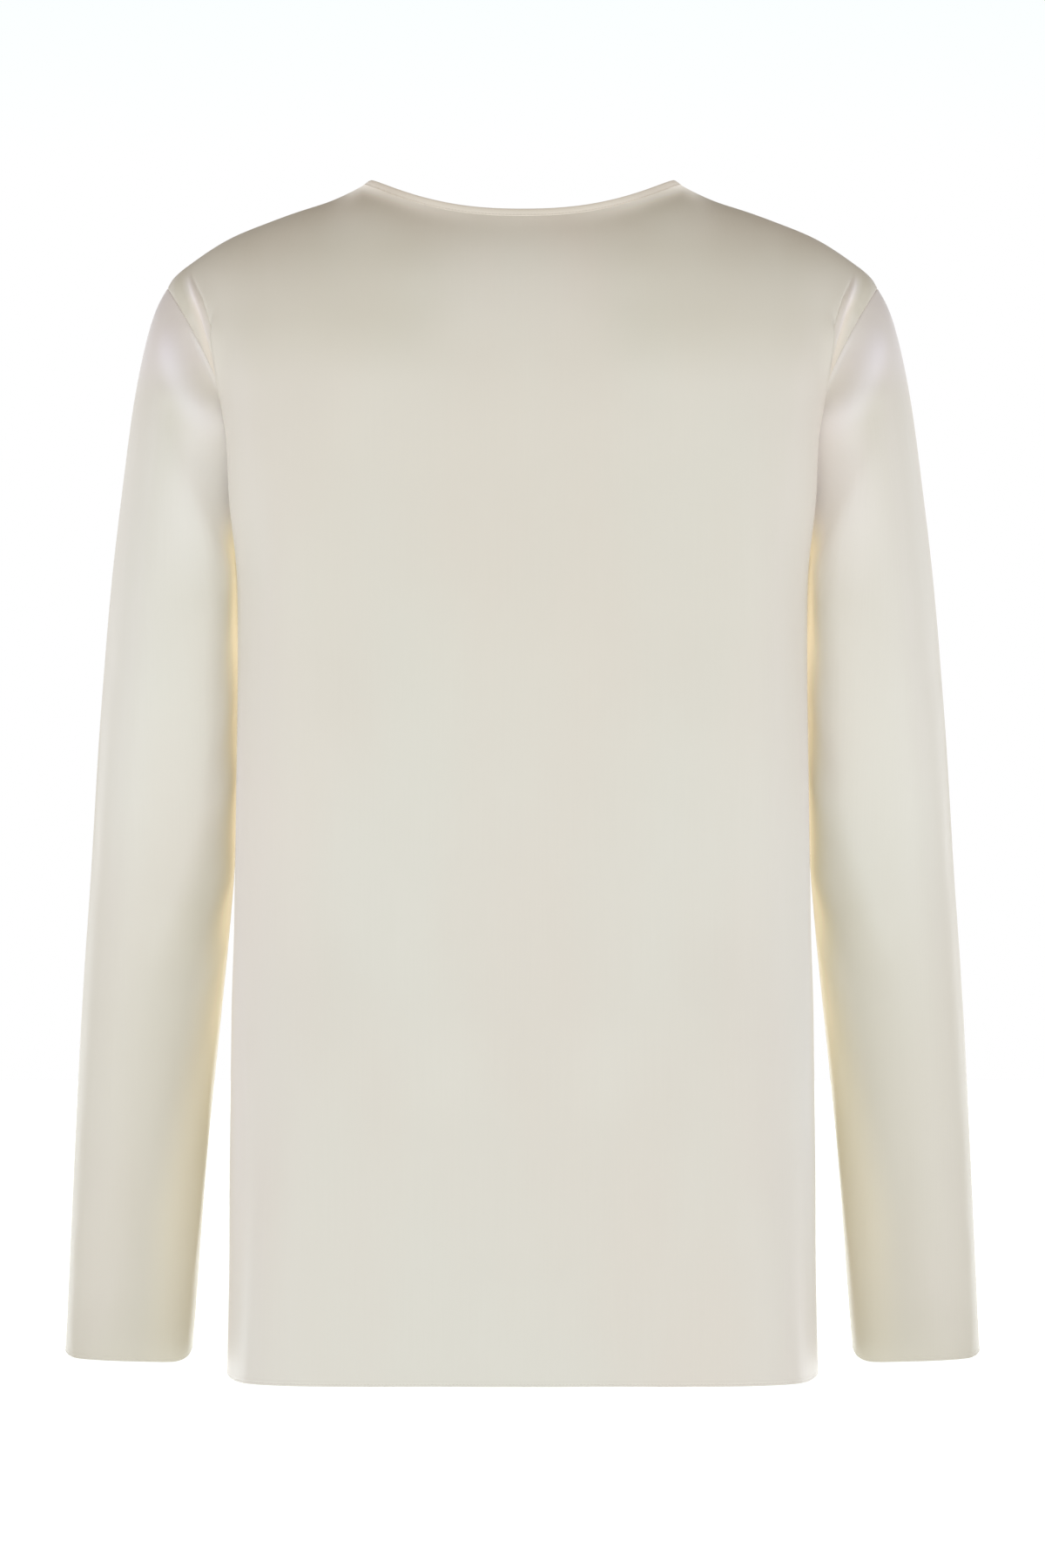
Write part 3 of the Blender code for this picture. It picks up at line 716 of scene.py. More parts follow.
def crease_lift(across, z, table, wrap=None):
    """Sum of height exp(-(d / width)^2) fade over the creases. d is the distance to the curve
    (1-t)^2 P1 + 2 t (1-t) M + t^2 P3 through three points, with M = 2 P2 - (P1 + P3) / 2. The far width,
    if a row has one, counts on the curve's left, which the sign of a cross product tells."""
    lift = np.zeros(across.shape)
    place = np.stack([across, z], -1)
    t = np.linspace(0, 1, CREASE_STEPS + 1)[:, None]
    for row in table:
        first, mid, last = (np.array(row[k:k + 2], float) for k in (0, 2, 4))
        if wrap:
            first, mid, last = (point * (wrap, 1) for point in (first, mid, last))
        width, height, far_width = (*row[6:], row[6])[:3]
        pull = 2 * mid - 0.5 * (first + last)
        curve = (1 - t) ** 2 * first + 2 * t * (1 - t) * pull + t ** 2 * last
        a, run = curve[:-1], np.diff(curve, axis=0)
        off = place[..., None, :] - a
        share = np.clip((off * run).sum(-1) / (run ** 2).sum(-1), 0, 1)
        far = np.linalg.norm(off - share[..., None] * run, axis=-1)
        best = far.argmin(-1)[..., None]
        d = np.take_along_axis(far, best, -1)[..., 0]
        turn = np.take_along_axis(run[:, 0] * off[..., 1] - run[:, 1] * off[..., 0], best, -1)[..., 0]
        at = (best[..., 0] + np.take_along_axis(share, best, -1)[..., 0]) / CREASE_STEPS
        fade = smooth_step(at / CREASE_FADE)
        if last[1] > HEM_Z:
            fade = fade * smooth_step((1 - at) / CREASE_FADE)
        lift += height * np.exp(-(d / np.where(turn > 0, far_width, width)) ** 2) * fade
    return lift


def puckers(run, away, height, reach, seed):
    """Uneven ripples along a seam: height (sin(a) + sin(1.7 a + 1)) / 2 exp(-(away / reach)^2), where a
    goes round once in PUCKER_LENGTH and wanders a little with the run."""
    run = run + PUCKER_WANDER * np.sin(run / PUCKER_WANDER_LENGTH + seed)
    a = 2 * math.pi * run / PUCKER_LENGTH + seed
    return 0.5 * height * (np.sin(a) + np.sin(1.7 * a + 1)) * np.exp(-(away / reach) ** 2)


def surface_normals(grid):
    """Unit normals of a grid: the cross product of its steps along the columns and up the rows."""
    return unit(np.cross(np.gradient(grid, axis=1), np.gradient(grid, axis=0)))


print("a pucker 0.1 mm high is", round(float(puckers(3.0, 0.0, 0.1, 4.0, 0.0)), 3), "mm high at 3 mm")

# %% [markdown]
# ## From a surface to cloth
#
# Real cloth has a thickness, and its edges show it. Blender's Solidify would give an even wall with square
# edges. Here the wall has two faces worked out from the same surface, so that both can roll in to meet at a
# seam, as sewn edges do, and the hem can be a narrow turned band with its line of stitches pressed in. Along
# all four edges the two faces share their points, so each piece is one closed shell.

# %% Wall of the cloth
WALL_OUT = 0.50
WALL_IN = -0.05
SEAM_ROLL = 1.3
HEM_HIGH = 2.8
HEM_PROUD = 0.10
HEM_FOLD = 0.55
HEM_ROUND = 0.5
HEM_STEP_OUT = 0.8
HEM_STEP_IN = 0.35
STITCH_ROW = 7
STITCH_PRESS = 0.14
STITCH_GROOVE = 0.3


def quarter_round(distance, reach):
    """sqrt(1 - (1 - d / reach)^2) up to the reach, then 1."""
    return np.sqrt(1 - (1 - np.clip(distance / reach, 0, 1)) ** 2)


def wall_faces(hem, seams):
    """Heights of the outer and the inner face over the middle surface, from the distances to the hem and to
    the seams: even, stepped in at the turned hem, pressed at its stitches and rounded at the edges."""
    press = STITCH_PRESS * bump(hem, HEM_ROWS[STITCH_ROW], STITCH_GROOVE)
    proud = 1 - smooth_step((hem - HEM_HIGH + 0.5 * HEM_STEP_OUT) / HEM_STEP_OUT)
    band = 1 - smooth_step((hem - HEM_HIGH) / HEM_STEP_IN)
    outer = WALL_OUT + HEM_PROUD * proud - press
    inner = WALL_IN - HEM_FOLD * band + press
    shape = quarter_round(hem, HEM_ROUND)
    for seam in seams:
        shape = shape * quarter_round(seam, SEAM_ROLL)
    return outer * shape, inner * shape


def quads(ids):
    """The four corners of every cell of a grid of point numbers."""
    return np.stack((ids[:-1, :-1], ids[:-1, 1:], ids[1:, 1:], ids[1:, :-1]), -1).reshape(-1, 4)


def signed_volume(points, faces):
    """Sum of a . (b x c) / 6 over the triangles fanned out from each face's first point."""
    fan = [(points[faces[:, 0]] * np.cross(points[faces[:, k]], points[faces[:, k + 1]])).sum()
           for k in range(1, faces.shape[1] - 1)]
    return sum(fan) / 6


def piece_object(name, points, faces, material, uv=None, values=None):
    """A smooth mesh object from points in millimetres and arrays of faces. Faces that enclose a negative
    volume are turned round. The UV map is in metres, one array of corners for each array of faces. Values
    are numbers or colours on the points by name: inner is 1 on the inside of the cloth, glow is painted light,
    a colour for light that comes through the cloth, and shade is the strength of painted shade."""
    if sum(signed_volume(points, part) for part in faces) < 0:
        faces = [part[:, ::-1] for part in faces]
        uv = uv and [part[:, ::-1] for part in uv]
    mesh = bpy.data.meshes.new(name)
    mesh.from_pydata((points * MM).tolist(), [], [face for part in faces for face in part.tolist()])
    mesh.shade_smooth()
    if uv:
        corners = np.concatenate([part.reshape(-1, 2) for part in uv]) * MM
        mesh.uv_layers.new(name="UVMap").data.foreach_set("uv", corners.ravel())
    for key, numbers in (values or {}).items():
        kind, field = ("FLOAT_VECTOR", "vector") if numbers.ndim > 1 else ("FLOAT", "value")
        mesh.attributes.new(key, kind, "POINT").data.foreach_set(field, numbers.ravel())
    mesh.materials.append(material)
    piece = bpy.data.objects.new(name, mesh)
    bpy.context.scene.collection.objects.link(piece)
    return piece


def shell_object(name, middle, normals, faces_at, across, up, material, glow, shade):
    """A closed shell of cloth: the outer and the inner face of a grid, joined along its four edges."""
    rows, columns = middle.shape[:2]
    outer, inner = (middle + normals * face[..., None] for face in faces_at)
    ids = np.arange(rows * columns).reshape(rows, columns)
    inside = ids.copy()
    inside[1:-1, 1:-1] = rows * columns + np.arange((rows - 2) * (columns - 2)).reshape(rows - 2, -1)
    points = np.concatenate((outer.reshape(-1, 3), inner[1:-1, 1:-1].reshape(-1, 3)))
    uv = np.stack([across, up], -1).reshape(-1, 2)[quads(ids)]
    values = {"inner": (np.arange(len(points)) >= rows * columns).astype(float)}
    # Painted light (glow) and painted shade (shade) go on the outer face's points only
    for key, outside in (("glow", glow), ("shade", shade)):
        values[key] = np.zeros((len(points), *outside.shape[2:]))
        values[key][:rows * columns] = outside.reshape(rows * columns, *outside.shape[2:])
    piece = piece_object(name, points, [quads(ids), quads(inside)[:, ::-1]], material,
                         [uv, uv[:, ::-1]], values)
    return piece, outer, inner


print("hem %.1f mm high, wall %.2f mm" % (HEM_HIGH, WALL_OUT - WALL_IN))

# %% [markdown]
# ## Silk satin
#
# Satin shines because its warp threads float over many weft threads, so light runs off it in long soft
# streaks along the cloth. An image of a weave would look the same everywhere. Here the material is worked
# out on the piece's own UV map, in metres of cloth: very fine warp streaks, finer weft lines and slow
# unevenness go to the bump and the roughness, and the colour wanders slightly between a warmer and a cooler
# ivory. The shader's anisotropy, turned along the warp, stretches the highlights, and a little sheen lights
# the edges. The inside of satin is its matt back, which the value on the points tells apart.
#
# One thin layer of silk lets light through, and two layers with a dark hollow between them do not. Real
# scattering through a thin wall is slow and grainy, so two more values on the points paint it in: glow,
# painted light, a colour added as emission where light would come through or be caught between two pieces,
# and shade, painted shade, which mixes the face towards a deeper ivory where the cloth is to look darker.

# %% Satin material
IVORY_WARM = (0.875, 0.826, 0.75)
IVORY_COOL = (0.87, 0.85, 0.775)
IVORY_BACK = (0.85, 0.79, 0.66)
# Deeper ivory that painted shade mixes the face towards
IVORY_SHADE = (0.735, 0.697, 0.59)
IVORY_SLUB = (0.72, 0.68, 0.60)
SLUB_TINT = 0.035
# Noise: how often it changes along each axis, to the metre, and its detail
WARP_NOISE = ((5200.0, 55.0, 1.0), 2.0)
WEFT_NOISE = ((160.0, 6200.0, 1.0), 1.0)
SLUB_NOISE = ((900.0, 14.0, 1.0), 2.0)
SLOW_NOISE = ((10.0, 10.0, 3.6), 2.0)
RIPPLE_NOISE = ((42.0, 16.0, 1.0), 2.0)
# Bumps of the ripple, the slubs, the warp and the weft: height in metres and strength
BUMPS = ((0.0016, 0.35), (0.00006, 0.5), (0.00002, 0.6), (0.00001, 0.5))
# Values of the slub noise and the roughness of the face at both, and how much rougher the matt back is
ROUGHNESS = (0.25, 0.75, 0.36, 0.46)
BACK_ROUGHER = 0.22
SATIN_LOOK = {"Emission Strength": 1.0, "Anisotropic": 0.55, "Specular IOR Level": 0.44, "IOR": 1.35,
              "Sheen Weight": 0.015, "Sheen Roughness": 0.35, "Sheen Tint": (1.0, 0.97, 0.98, 1.0)}


def mix_colours(tree, factor, first, second):
    """A Mix node between two colours or two colour outputs."""
    mix = add_node(tree, "ShaderNodeMix", data_type="RGBA")
    for value, socket in ((factor, mix.inputs[0]), (first, mix.inputs[6]), (second, mix.inputs[7])):
        if isinstance(value, tuple):
            socket.default_value = (*value, 1.0)
        elif isinstance(value, float):
            socket.default_value = value
        else:
            tree.links.new(value, socket)
    return mix.outputs[2]


def cloth_noise(tree, source, scale, detail, turn=0.0):
    """Noise on the given coordinates, stretched by a scale for each axis."""
    place = add_node(tree, "ShaderNodeMapping")
    set_sockets(place, {"Scale": scale, "Rotation": (0.0, 0.0, turn)})
    tree.links.new(source, place.inputs["Vector"])
    noise = add_node(tree, "ShaderNodeTexNoise")
    set_sockets(noise, {"Scale": 1.0, "Detail": detail})
    tree.links.new(place.outputs["Vector"], noise.inputs["Vector"])
    return noise.outputs["Fac"]


def satin_material(name, warm, cool, back, turn=0.0):
    """Silk satin with its warp along the UV map's second axis, or turned from it as on a bias strip."""
    material, tree, shader = new_material(name)
    place = add_node(tree, "ShaderNodeTexCoord")
    uv, space = place.outputs["UV"], place.outputs["Object"]
    warp, weft, slub = (cloth_noise(tree, uv, *noise, turn) for noise in (WARP_NOISE, WEFT_NOISE, SLUB_NOISE))
    slow = cloth_noise(tree, space, *SLOW_NOISE)
    ripple = cloth_noise(tree, uv, *RIPPLE_NOISE)

    face = mix_colours(tree, value_range(tree, slow, 0.35, 0.65, 0.0, 1.0), warm, cool)
    streaked = mix_colours(tree, value_range(tree, slub, 0.3, 0.7, 0.0, SLUB_TINT), face, IVORY_SLUB)
    inside = add_node(tree, "ShaderNodeAttribute", attribute_name="inner")
    # Painted shade: the shade value on the points mixes the colour towards a deeper ivory
    shade = add_node(tree, "ShaderNodeAttribute", attribute_name="shade")
    shaded = mix_colours(tree, shade.outputs["Fac"], streaked, IVORY_SHADE)
    colour = mix_colours(tree, inside.outputs["Fac"], shaded, back)
    tree.links.new(colour, shader.inputs["Base Color"])

    # Painted light: the glow value on the points is added as emission colour
    glow = add_node(tree, "ShaderNodeAttribute", attribute_name="glow")
    tree.links.new(glow.outputs["Color"], shader.inputs["Emission Color"])

    gloss = value_range(tree, slub, *ROUGHNESS)
    rough = add_node(tree, "ShaderNodeMath", operation="MULTIPLY_ADD")
    tree.links.new(inside.outputs["Fac"], rough.inputs[0])
    rough.inputs[1].default_value = BACK_ROUGHER
    tree.links.new(gloss, rough.inputs[2])
    tree.links.new(rough.outputs["Value"], shader.inputs["Roughness"])

    tangent = add_node(tree, "ShaderNodeTangent", direction_type="UV_MAP", uv_map="UVMap")
    tree.links.new(tangent.outputs["Tangent"], shader.inputs["Tangent"])
    set_sockets(shader, {**SATIN_LOOK, "Anisotropic Rotation": 0.25 + turn / (2 * math.pi)})

    normal = None
    for height, (distance, strength) in zip((ripple, slub, warp, weft), BUMPS):
        bump_node = add_node(tree, "ShaderNodeBump")
        set_sockets(bump_node, {"Distance": distance, "Strength": strength})
        tree.links.new(height, bump_node.inputs["Height"])
        if normal:
            tree.links.new(normal, bump_node.inputs["Normal"])
        normal = bump_node.outputs["Normal"]
    tree.links.new(normal, shader.inputs["Normal"])
    return material


satin = satin_material("ivory_satin", IVORY_WARM, IVORY_COOL, IVORY_BACK)
print("satin nodes:", len(satin.node_tree.nodes))

# %% [markdown]
# ## The back and the front
#
# Each body panel is half a surface mirrored about the centre, lifted by its creases and given its wall. Its
# side, shoulder and armhole edges roll in and its neck edge goes under the binding. The cut sizes are those
# of the flat pattern pieces. Painted light, added as glow, stands for light through the neck, where nothing
# is behind the panel, the fold and the band beside the armhole and the side. Painted shade darkens the
# shoulder blades, the upper back and the shoulder's tip. The tables use the cloth's own lengths.

# %% Body panels
SEAM_PUCKER = 0.10
SEAM_PUCKER_REACH = 6.0
HEM_PUCKER = 0.09
HEM_PUCKER_REACH = 5.0
SEAM_CALM = 3.0
# Painted light along the neck: distance from the middle plane and level of the light
NECK_GLOW = ((0, 0.095), (25, 0.09), (50, 0.17), (65, 0.24), (79, 0.29), (86, 0.38), (92, 0.42), (96, 0.35),
             (101, 0.14), (108, 0.0), (400, 0.0))
NECK_LIGHT = (1.0, 0.98, 0.95)
NECK_GLOW_REACH = 6.8
# Painted light along the fold, down the side and along the band beside the armhole, and painted shade at the
# shoulder's tip, each row like a crease's with its height as the level
FOLD_GLOW = ((213, -54, 201.5, -77, 194, -104, 3.4, 1.0),)
FOLD_LIGHT = (0.07, 0.055, 0.095)
EDGE_GLOW = ((186, -180, 186, -420, 186, -670, 16.0, 1.0),)
EDGE_LIGHT = (0.03, 0.035, 0.06)
BAND_GLOW = ((212, -66, 202, -93, 206, -150, 4.6, 1.0),)
BAND_LIGHT = (0.075, 0.05, 0.032)
TIP_SHADE = ((224, -54, 218, -68, 211, -84, 5.0, 0.9),)
# Painted shade over the shoulder blades, from a soft step across and a window of heights, and a little on the
# upper back
YOKE_ACROSS = (20, 80)
# Level and the four heights of its window
YOKE_SHADE = (0.5, -130, -80, -50, -20)
BACK_SHADE = (0.2, -420, -230, -110, -60)


def light_by_x(table, x, colour):
    """A colour times the level that a table gives by the distance from the middle plane."""
    level, = read_table(table, np.abs(x))
    return level[..., None] * colour


def panel_glow(half, across):
    """Painted light that stands for light through a single layer of thin cloth: beside the neck its level by x,
    times exp(-(drop / reach)^2) below the edge, along the fold and the band beside the armhole, and down the
    side, where the panel turns in."""
    z = half[:, :, 2]
    light = light_by_x(NECK_GLOW, half[-1, :, 0], NECK_LIGHT)
    light = light * np.exp(-((z[-1] - z) / NECK_GLOW_REACH) ** 2)[..., None]
    for table, colour in ((FOLD_GLOW, FOLD_LIGHT), (BAND_GLOW, BAND_LIGHT), (EDGE_GLOW, EDGE_LIGHT)):
        light = light + crease_lift(across, z, table)[..., None] * colour
    return light


def panel_shade(across, z):
    """Painted shade on the cloth: over the shoulder blades by a soft step outwards and a window of heights, a
    little on the upper body by another window, and at the shoulder's tip."""
    first, last = YOKE_ACROSS
    yoke, upper = (level * window(z, *heights) for level, *heights in (YOKE_SHADE, BACK_SHADE))
    shade = yoke * smooth_step((across - first) / (last - first)) + upper
    return np.clip(shade + crease_lift(across, z, TIP_SHADE), 0, 1)


def both_halves(half, flip=(-1, 1, 1)):
    """A grid mirrored about x = 0: the columns of the other half in front, the centre column once."""
    other = half[:, :0:-1]
    if half.ndim == 3:
        other = other * flip
    return np.concatenate((other, half), axis=1)


def cloth_piece(name, form, sign, lift, wall, across, up, glow, shade):
    """A piece of satin as a shell on its lifted form, and its faces for the stitches and seams. The sign
    turns the grid's own normals outwards."""
    middle = form + sign * surface_normals(form) * lift[..., None]
    normals = sign * surface_normals(middle)
    piece, outer, inner = shell_object(name, middle, normals, wall, across, up, satin, glow, shade)
    print(name, "%d faces" % len(piece.data.polygons))
    return {"piece": piece, "outer": outer, "inner": inner, "normals": normals}


def panel(name, half, creases, sign):
    """A body panel: its creases and puckers fade beside its seams, and its other half is its mirror image."""
    across = cell_lengths(half, 1)
    side = across[:, -1:] - across
    hem = cell_lengths(half, 0)
    top = hem[-1:] - hem
    lift = crease_lift(across, half[:, :, 2], creases)
    lift += puckers(hem, side, SEAM_PUCKER, SEAM_PUCKER_REACH, 0.4)
    lift += puckers(across, hem, HEM_PUCKER, HEM_PUCKER_REACH, 1.1)
    lift += puckers(across, top, SEAM_PUCKER, SEAM_PUCKER_REACH, 2.0)
    lift *= smooth_step(side / SEAM_CALM) * smooth_step(top / SEAM_CALM)
    # Painted light and painted shade, mirrored to both halves
    glow = both_halves(panel_glow(half, across), flip=1)
    shade = both_halves(panel_shade(across, half[:, :, 2]))
    side, hem, top, lift = (both_halves(part) for part in (side, hem, top, lift))
    u = np.concatenate((-across[:, :0:-1], across), axis=1)
    return cloth_piece(name, both_halves(half), sign, lift, wall_faces(hem, (side, top)), u, hem, glow, shade)


back = panel("back_satin", back_form, BACK_CREASES, -1.0)
front = panel("front_satin", front_form, FRONT_CREASES, 1.0)

# %% [markdown]
# ## The sleeves
#
# The left sleeve is made like a panel: seams along its armhole and its underarm edges, and a turned hem at
# the cuff. The right sleeve is its mirror image. A mirrored shape turns inside out, so its normals take the
# other sign. Between the sleeve and the body light is thrown back and forth by warm ivory and turns golden;
# painted light along the inner side, added as glow, stands for it, and cooler painted light lies below the
# armhole, on the cap and on the ridge. The lower sleeve, the inner side and the outer edge get painted shade.

# %% Sleeves
# Painted light beside the body: height, and there the start and the level of the light
SLEEVE_GLOW = ((-700, 0.26, 0.0), (-670, 0.26, 0.18), (-600, 0.26, 0.30), (-500, 0.31, 0.42),
               (-430, 0.34, 0.6), (-350, 0.35, 0.62), (-270, 0.33, 0.76), (-225, 0.34, 0.58),
               (-190, 0.36, 0.38), (-160, 0.38, 0.0))
GLOW_WIDE = 0.09
# Level and its colour: golden where it is low, paler where it is high
HOLLOW_LIGHT = ((0.0, 0.0, 0.0, 0.0), (0.35, 0.105, 0.086, 0.045), (1.0, 0.34, 0.29, 0.205))
# Painted light along the inner edge and below the armhole
INNER_LIGHT = (0.30, 0.265, 0.20)
INNER_GLOW = ((0.43, -160, 0.44, -222, 0.46, -350, 12.0, 0.5),
              (0.46, -290, 0.46, -420, 0.45, -570, 12.0, 0.6))
PIT_LIGHT = (0.084, 0.080, 0.104)
# Painted light below the armhole: height and level, and the four places of its window
PIT_GLOW = ((-245, 0.0), (-200, 0.7), (-175, 0.95), (-150, 1.0), (-125, 0.6), (-105, 0.0))
PIT_PLACES = (0.18, 0.27, 0.38, 0.44)
# Painted light on the cap, above a soft step of heights, and along the ridge
CAP_LIGHT = (0.034, 0.029, 0.060)
CAP_GLOW = (-130, -102)
RIDGE_LIGHT = (0.055, 0.055, 0.095)
RIDGE_GLOW = ((0.085, -80, 0.170, -118, 0.300, -156, 4.2, 1.0),)
# Painted shade: height, and there the shade on the outer and on the inner side
SLEEVE_SHADE = ((-700, 0.95, 1.0), (-670, 0.60, 1.0), (-640, 0.42, 0.9), (-480, 0.40, 0.9), (-420, 0.2, 1.0),
                (-350, 0.0, 0.6), (-250, 0.0, 0.5), (-180, 0.0, 0.8), (-140, 0.0, 0.0))
# Height, and there the place and the width of the step between the two sides
SHADE_FROM = ((-700, 0.20, 0.18), (-500, 0.20, 0.16), (-420, 0.26, 0.08), (-340, 0.34, 0.08),
              (-240, 0.38, 0.08), (-180, 0.40, 0.06), (-140, 0.40, 0.06))
# Painted shade along the outer edge: height and level
RIM_SHADE = ((-700, 0.9), (-450, 0.9), (-350, 1.3), (-270, 1.0), (-150, 0.5), (-80, 0.3))
RIM_WIDE = 0.09


def sleeve_glow(place, z):
    """Painted light on the sleeve, for light that comes through it. Beside the body it is warm, and its level
    is a soft step in the place, from its start over GLOW_WIDE, read from the table by height, with more along
    the inner edge. Below the armhole, on the cap and on the ridge between them it is cool. The place counts
    from the outer edge."""
    near = np.minimum(place, 1 - place)
    start, level = read_table(SLEEVE_GLOW, z)
    warm = np.stack(read_table(HOLLOW_LIGHT, level * smooth_step((near - start) / GLOW_WIDE)), -1)
    pit = read_table(PIT_GLOW, z)[0] * window(near, *PIT_PLACES)
    cap = smooth_step((z - CAP_GLOW[0]) / (CAP_GLOW[1] - CAP_GLOW[0]))
    ridge, inner = (crease_lift(place * SLEEVE_GIRTH, z, table, wrap=SLEEVE_GIRTH)
                    for table in (RIDGE_GLOW, INNER_GLOW))
    return sum((part[..., None] * colour for part, colour in
                ((pit, PIT_LIGHT), (cap, CAP_LIGHT), (ridge, RIDGE_LIGHT), (inner, INNER_LIGHT))), warm)


def sleeve_shade(place, z):
    """Painted shade on the sleeve, from the tables by height: the levels of the outer and the inner side with a
    soft step between them, and a soft bump along the outer edge."""
    near = np.minimum(place, 1 - place)
    outer, inner = read_table(SLEEVE_SHADE, z)
    start, wide = read_table(SHADE_FROM, z)
    step = smooth_step((near - start) / wide)
    rim = read_table(RIM_SHADE, z)[0] * bump(near, 0.0, RIM_WIDE)
    return np.clip(outer * (1 - step) + inner * step + rim, 0, 1)


def sleeve(name, side):
    """A sleeve on the wearer's left (side 1) or right (side -1)."""
    form = sleeve_form * (side, 1, 1)
    across = cell_lengths(form, 1)
    armhole = cell_lengths(form, 0)
    hem = armhole[-1:] - armhole
    seam_a, seam_b = across, across[:, -1:] - across
    seam = np.minimum(seam_a, seam_b)
    z = form[:, :, 2]
    place = np.broadcast_to(sleeve_places() % 1.0, across.shape)
    lift = crease_lift(place * SLEEVE_GIRTH, z, SLEEVE_CREASES, wrap=SLEEVE_GIRTH)
    lift += puckers(armhole, seam, SEAM_PUCKER, SEAM_PUCKER_REACH, 0.9)
    lift += puckers(across, hem, HEM_PUCKER, HEM_PUCKER_REACH, 2.3)
    lift += puckers(across, armhole, 1.5 * SEAM_PUCKER, SEAM_PUCKER_REACH, 1.6)
    lift *= smooth_step(seam / SEAM_CALM) * smooth_step(armhole / SEAM_CALM)
    wall = wall_faces(hem, (seam_a, seam_b, armhole))
    u = (sleeve_places() - 1.0) * across[:, -1:]
    return cloth_piece(name, form, -side, lift, wall, u, hem, sleeve_glow(place, z), sleeve_shade(place, z))


left = sleeve("sleeve_satin_left", 1)
right = sleeve("sleeve_satin_right", -1)

# %% [markdown]
# ## The neck binding
#
# The neck is finished with a bias strip folded over the raw edge and stitched down close to its lower side.
# It could be a curve with a bevel, but a curve's profile twists at the V. So a rounded profile is carried
# round the neck by formula: it stands between the line where the binding meets the panels and the neck's
# edge, laps a little over the panels and is mitred at the V, where the two halves meet in the middle plane.

# %% Binding
BINDING_PROFILE = ((-0.55, 0.50), (-0.62, 0.66), (-0.50, 0.80), (-0.20, 0.86), (0.15, 0.84), (0.50, 0.74),
                   (0.85, 0.80), (1.4, 0.88), (2.3, 0.90), (3.2, 0.86), (3.9, 0.74), (4.4, 0.52),
                   (4.65, 0.26), (4.75, 0.0))
BINDING_WIDTH = 4.75
BINDING_STEPS = 130
# Place of the stitches across the binding and their height over its middle
BINDING_STITCH = (0.5, 0.74)
# The binding's ivory is set paler than the panels' for the same satin: painted light on the band
BIAS_WARM = (0.93, 0.865, 0.765)
BIAS_COOL = (0.93, 0.875, 0.79)
BIAS_BACK = (0.90, 0.84, 0.74)
# Painted light on the binding: distance from the middle plane and level of the light
BINDING_GLOW = ((0, 0.035), (25, 0.055), (50, 0.085), (75, 0.09), (80, 0.11), (92, 0.16))


def neck_path(back, fractions):
    """Half the neck from its middle to the shoulder: seam points, edge points, and the directions across the
    binding and along it."""
    seam, edge = neck_line(SEAM_NECK, back, fractions), neck_line(EDGE_NECK, back, fractions)
    wide = unit(edge - seam)
    ahead = unit(np.gradient(seam, axis=0)) * (1 if back else -1)
    return seam, edge, wide, ahead


def binding_frames():
    """Seam points, the way to the edge and normals round the whole neck, from the middle of the back over the
    left shoulder to the V and on."""
    even = np.linspace(0, 1, BINDING_STEPS + 1)
    parts = [np.concatenate((b, f[-2::-1]))
             for b, f in zip(neck_path(True, even), neck_path(False, even))]
    seam, edge, wide, ahead = parts
    normal = unit(np.cross(wide, ahead))
    for end in (0, -1):
        flat = normal[end] * (0, 1, 1)
        normal[end] = flat / (flat @ flat)
    seam, edge, normal = (np.concatenate((part, part[-2:0:-1] * (-1, 1, 1))) for part in (seam, edge, normal))
    return seam, edge - seam, normal


def binding_points(width, height):
    """Points at a share of the binding's width and a height over its middle, all round the neck."""
    seam, wide, normal = binding_frames()
    return seam + wide * (width / BINDING_WIDTH) + normal * height


def ring_ids(rows, columns, closed_rows=False):
    """Point numbers of a grid whose columns (and rows) go on into the first ones."""
    ids = np.arange(rows * columns).reshape(rows, columns)
    ids = np.concatenate((ids, ids[:, :1]), axis=1)
    return np.concatenate((ids, ids[:1])) if closed_rows else ids


def loop_uv(run, girth):
    """UV corners of a grid from the distances along its rows and round its section."""
    uv = np.stack(np.broadcast_arrays(run[:, None], girth[None]), -1)
    return uv.reshape(-1, 2)[quads(np.arange(uv.size // 2).reshape(uv.shape[:2]))]


upper = np.array(BINDING_PROFILE)
profile = np.concatenate((upper, upper[-2::-1] * (1, -1)))
band = np.stack([binding_points(w, h) for w, h in profile], 1)
run = lengths(np.concatenate((band[:, 0], band[:1, 0])))
girth = lengths(np.concatenate((profile, profile[:1])))
# The binding's satin is painted paler than the panels', and it gets painted light as glow
bias_satin = satin_material("bias_satin", BIAS_WARM, BIAS_COOL, BIAS_BACK, turn=math.radians(45))
binding = piece_object("neck_binding_satin", band.reshape(-1, 3),
                       [quads(ring_ids(*band.shape[:2], closed_rows=True))], bias_satin,
                       [loop_uv(run, girth)],
                       {"glow": light_by_x(BINDING_GLOW, band.reshape(-1, 3)[:, 0], NECK_LIGHT)})
print("binding %.0f mm round, %d faces" % (run[-1], len(binding.data.polygons)))

# %% [markdown]
# ## Stitches
#
# Silk is sewn with fine thread, here about five stitches to the centimetre. Each stitch is a small spindle
# that dips into the cloth at both ends. One spindle of a few dozen faces is copied by array to every place
# along a line, turned along it, and each garment edge keeps its stitches in one mesh.

# %% Rows of stitches
STITCH_PITCH = 2.0
STITCH_LONG = 1.55
STITCH_WIDE = 0.17
STITCH_HIGH = 0.15
STITCH_SINK = 0.06
SPINDLE = ((0.0, 0.0), (0.2, 0.75), (0.5, 1.0), (0.8, 0.75), (1.0, 0.0))
SPINDLE_SIDES = 6
SPINDLE_DIP = 1.2
THREAD_DARK = (0.74, 0.69, 0.61)
THREAD_PALE = (0.78, 0.74, 0.67)
# Darker tint in the grooves of the twist: painted shade
THREAD_GROOVE_SHADE = (0.66, 0.61, 0.53)


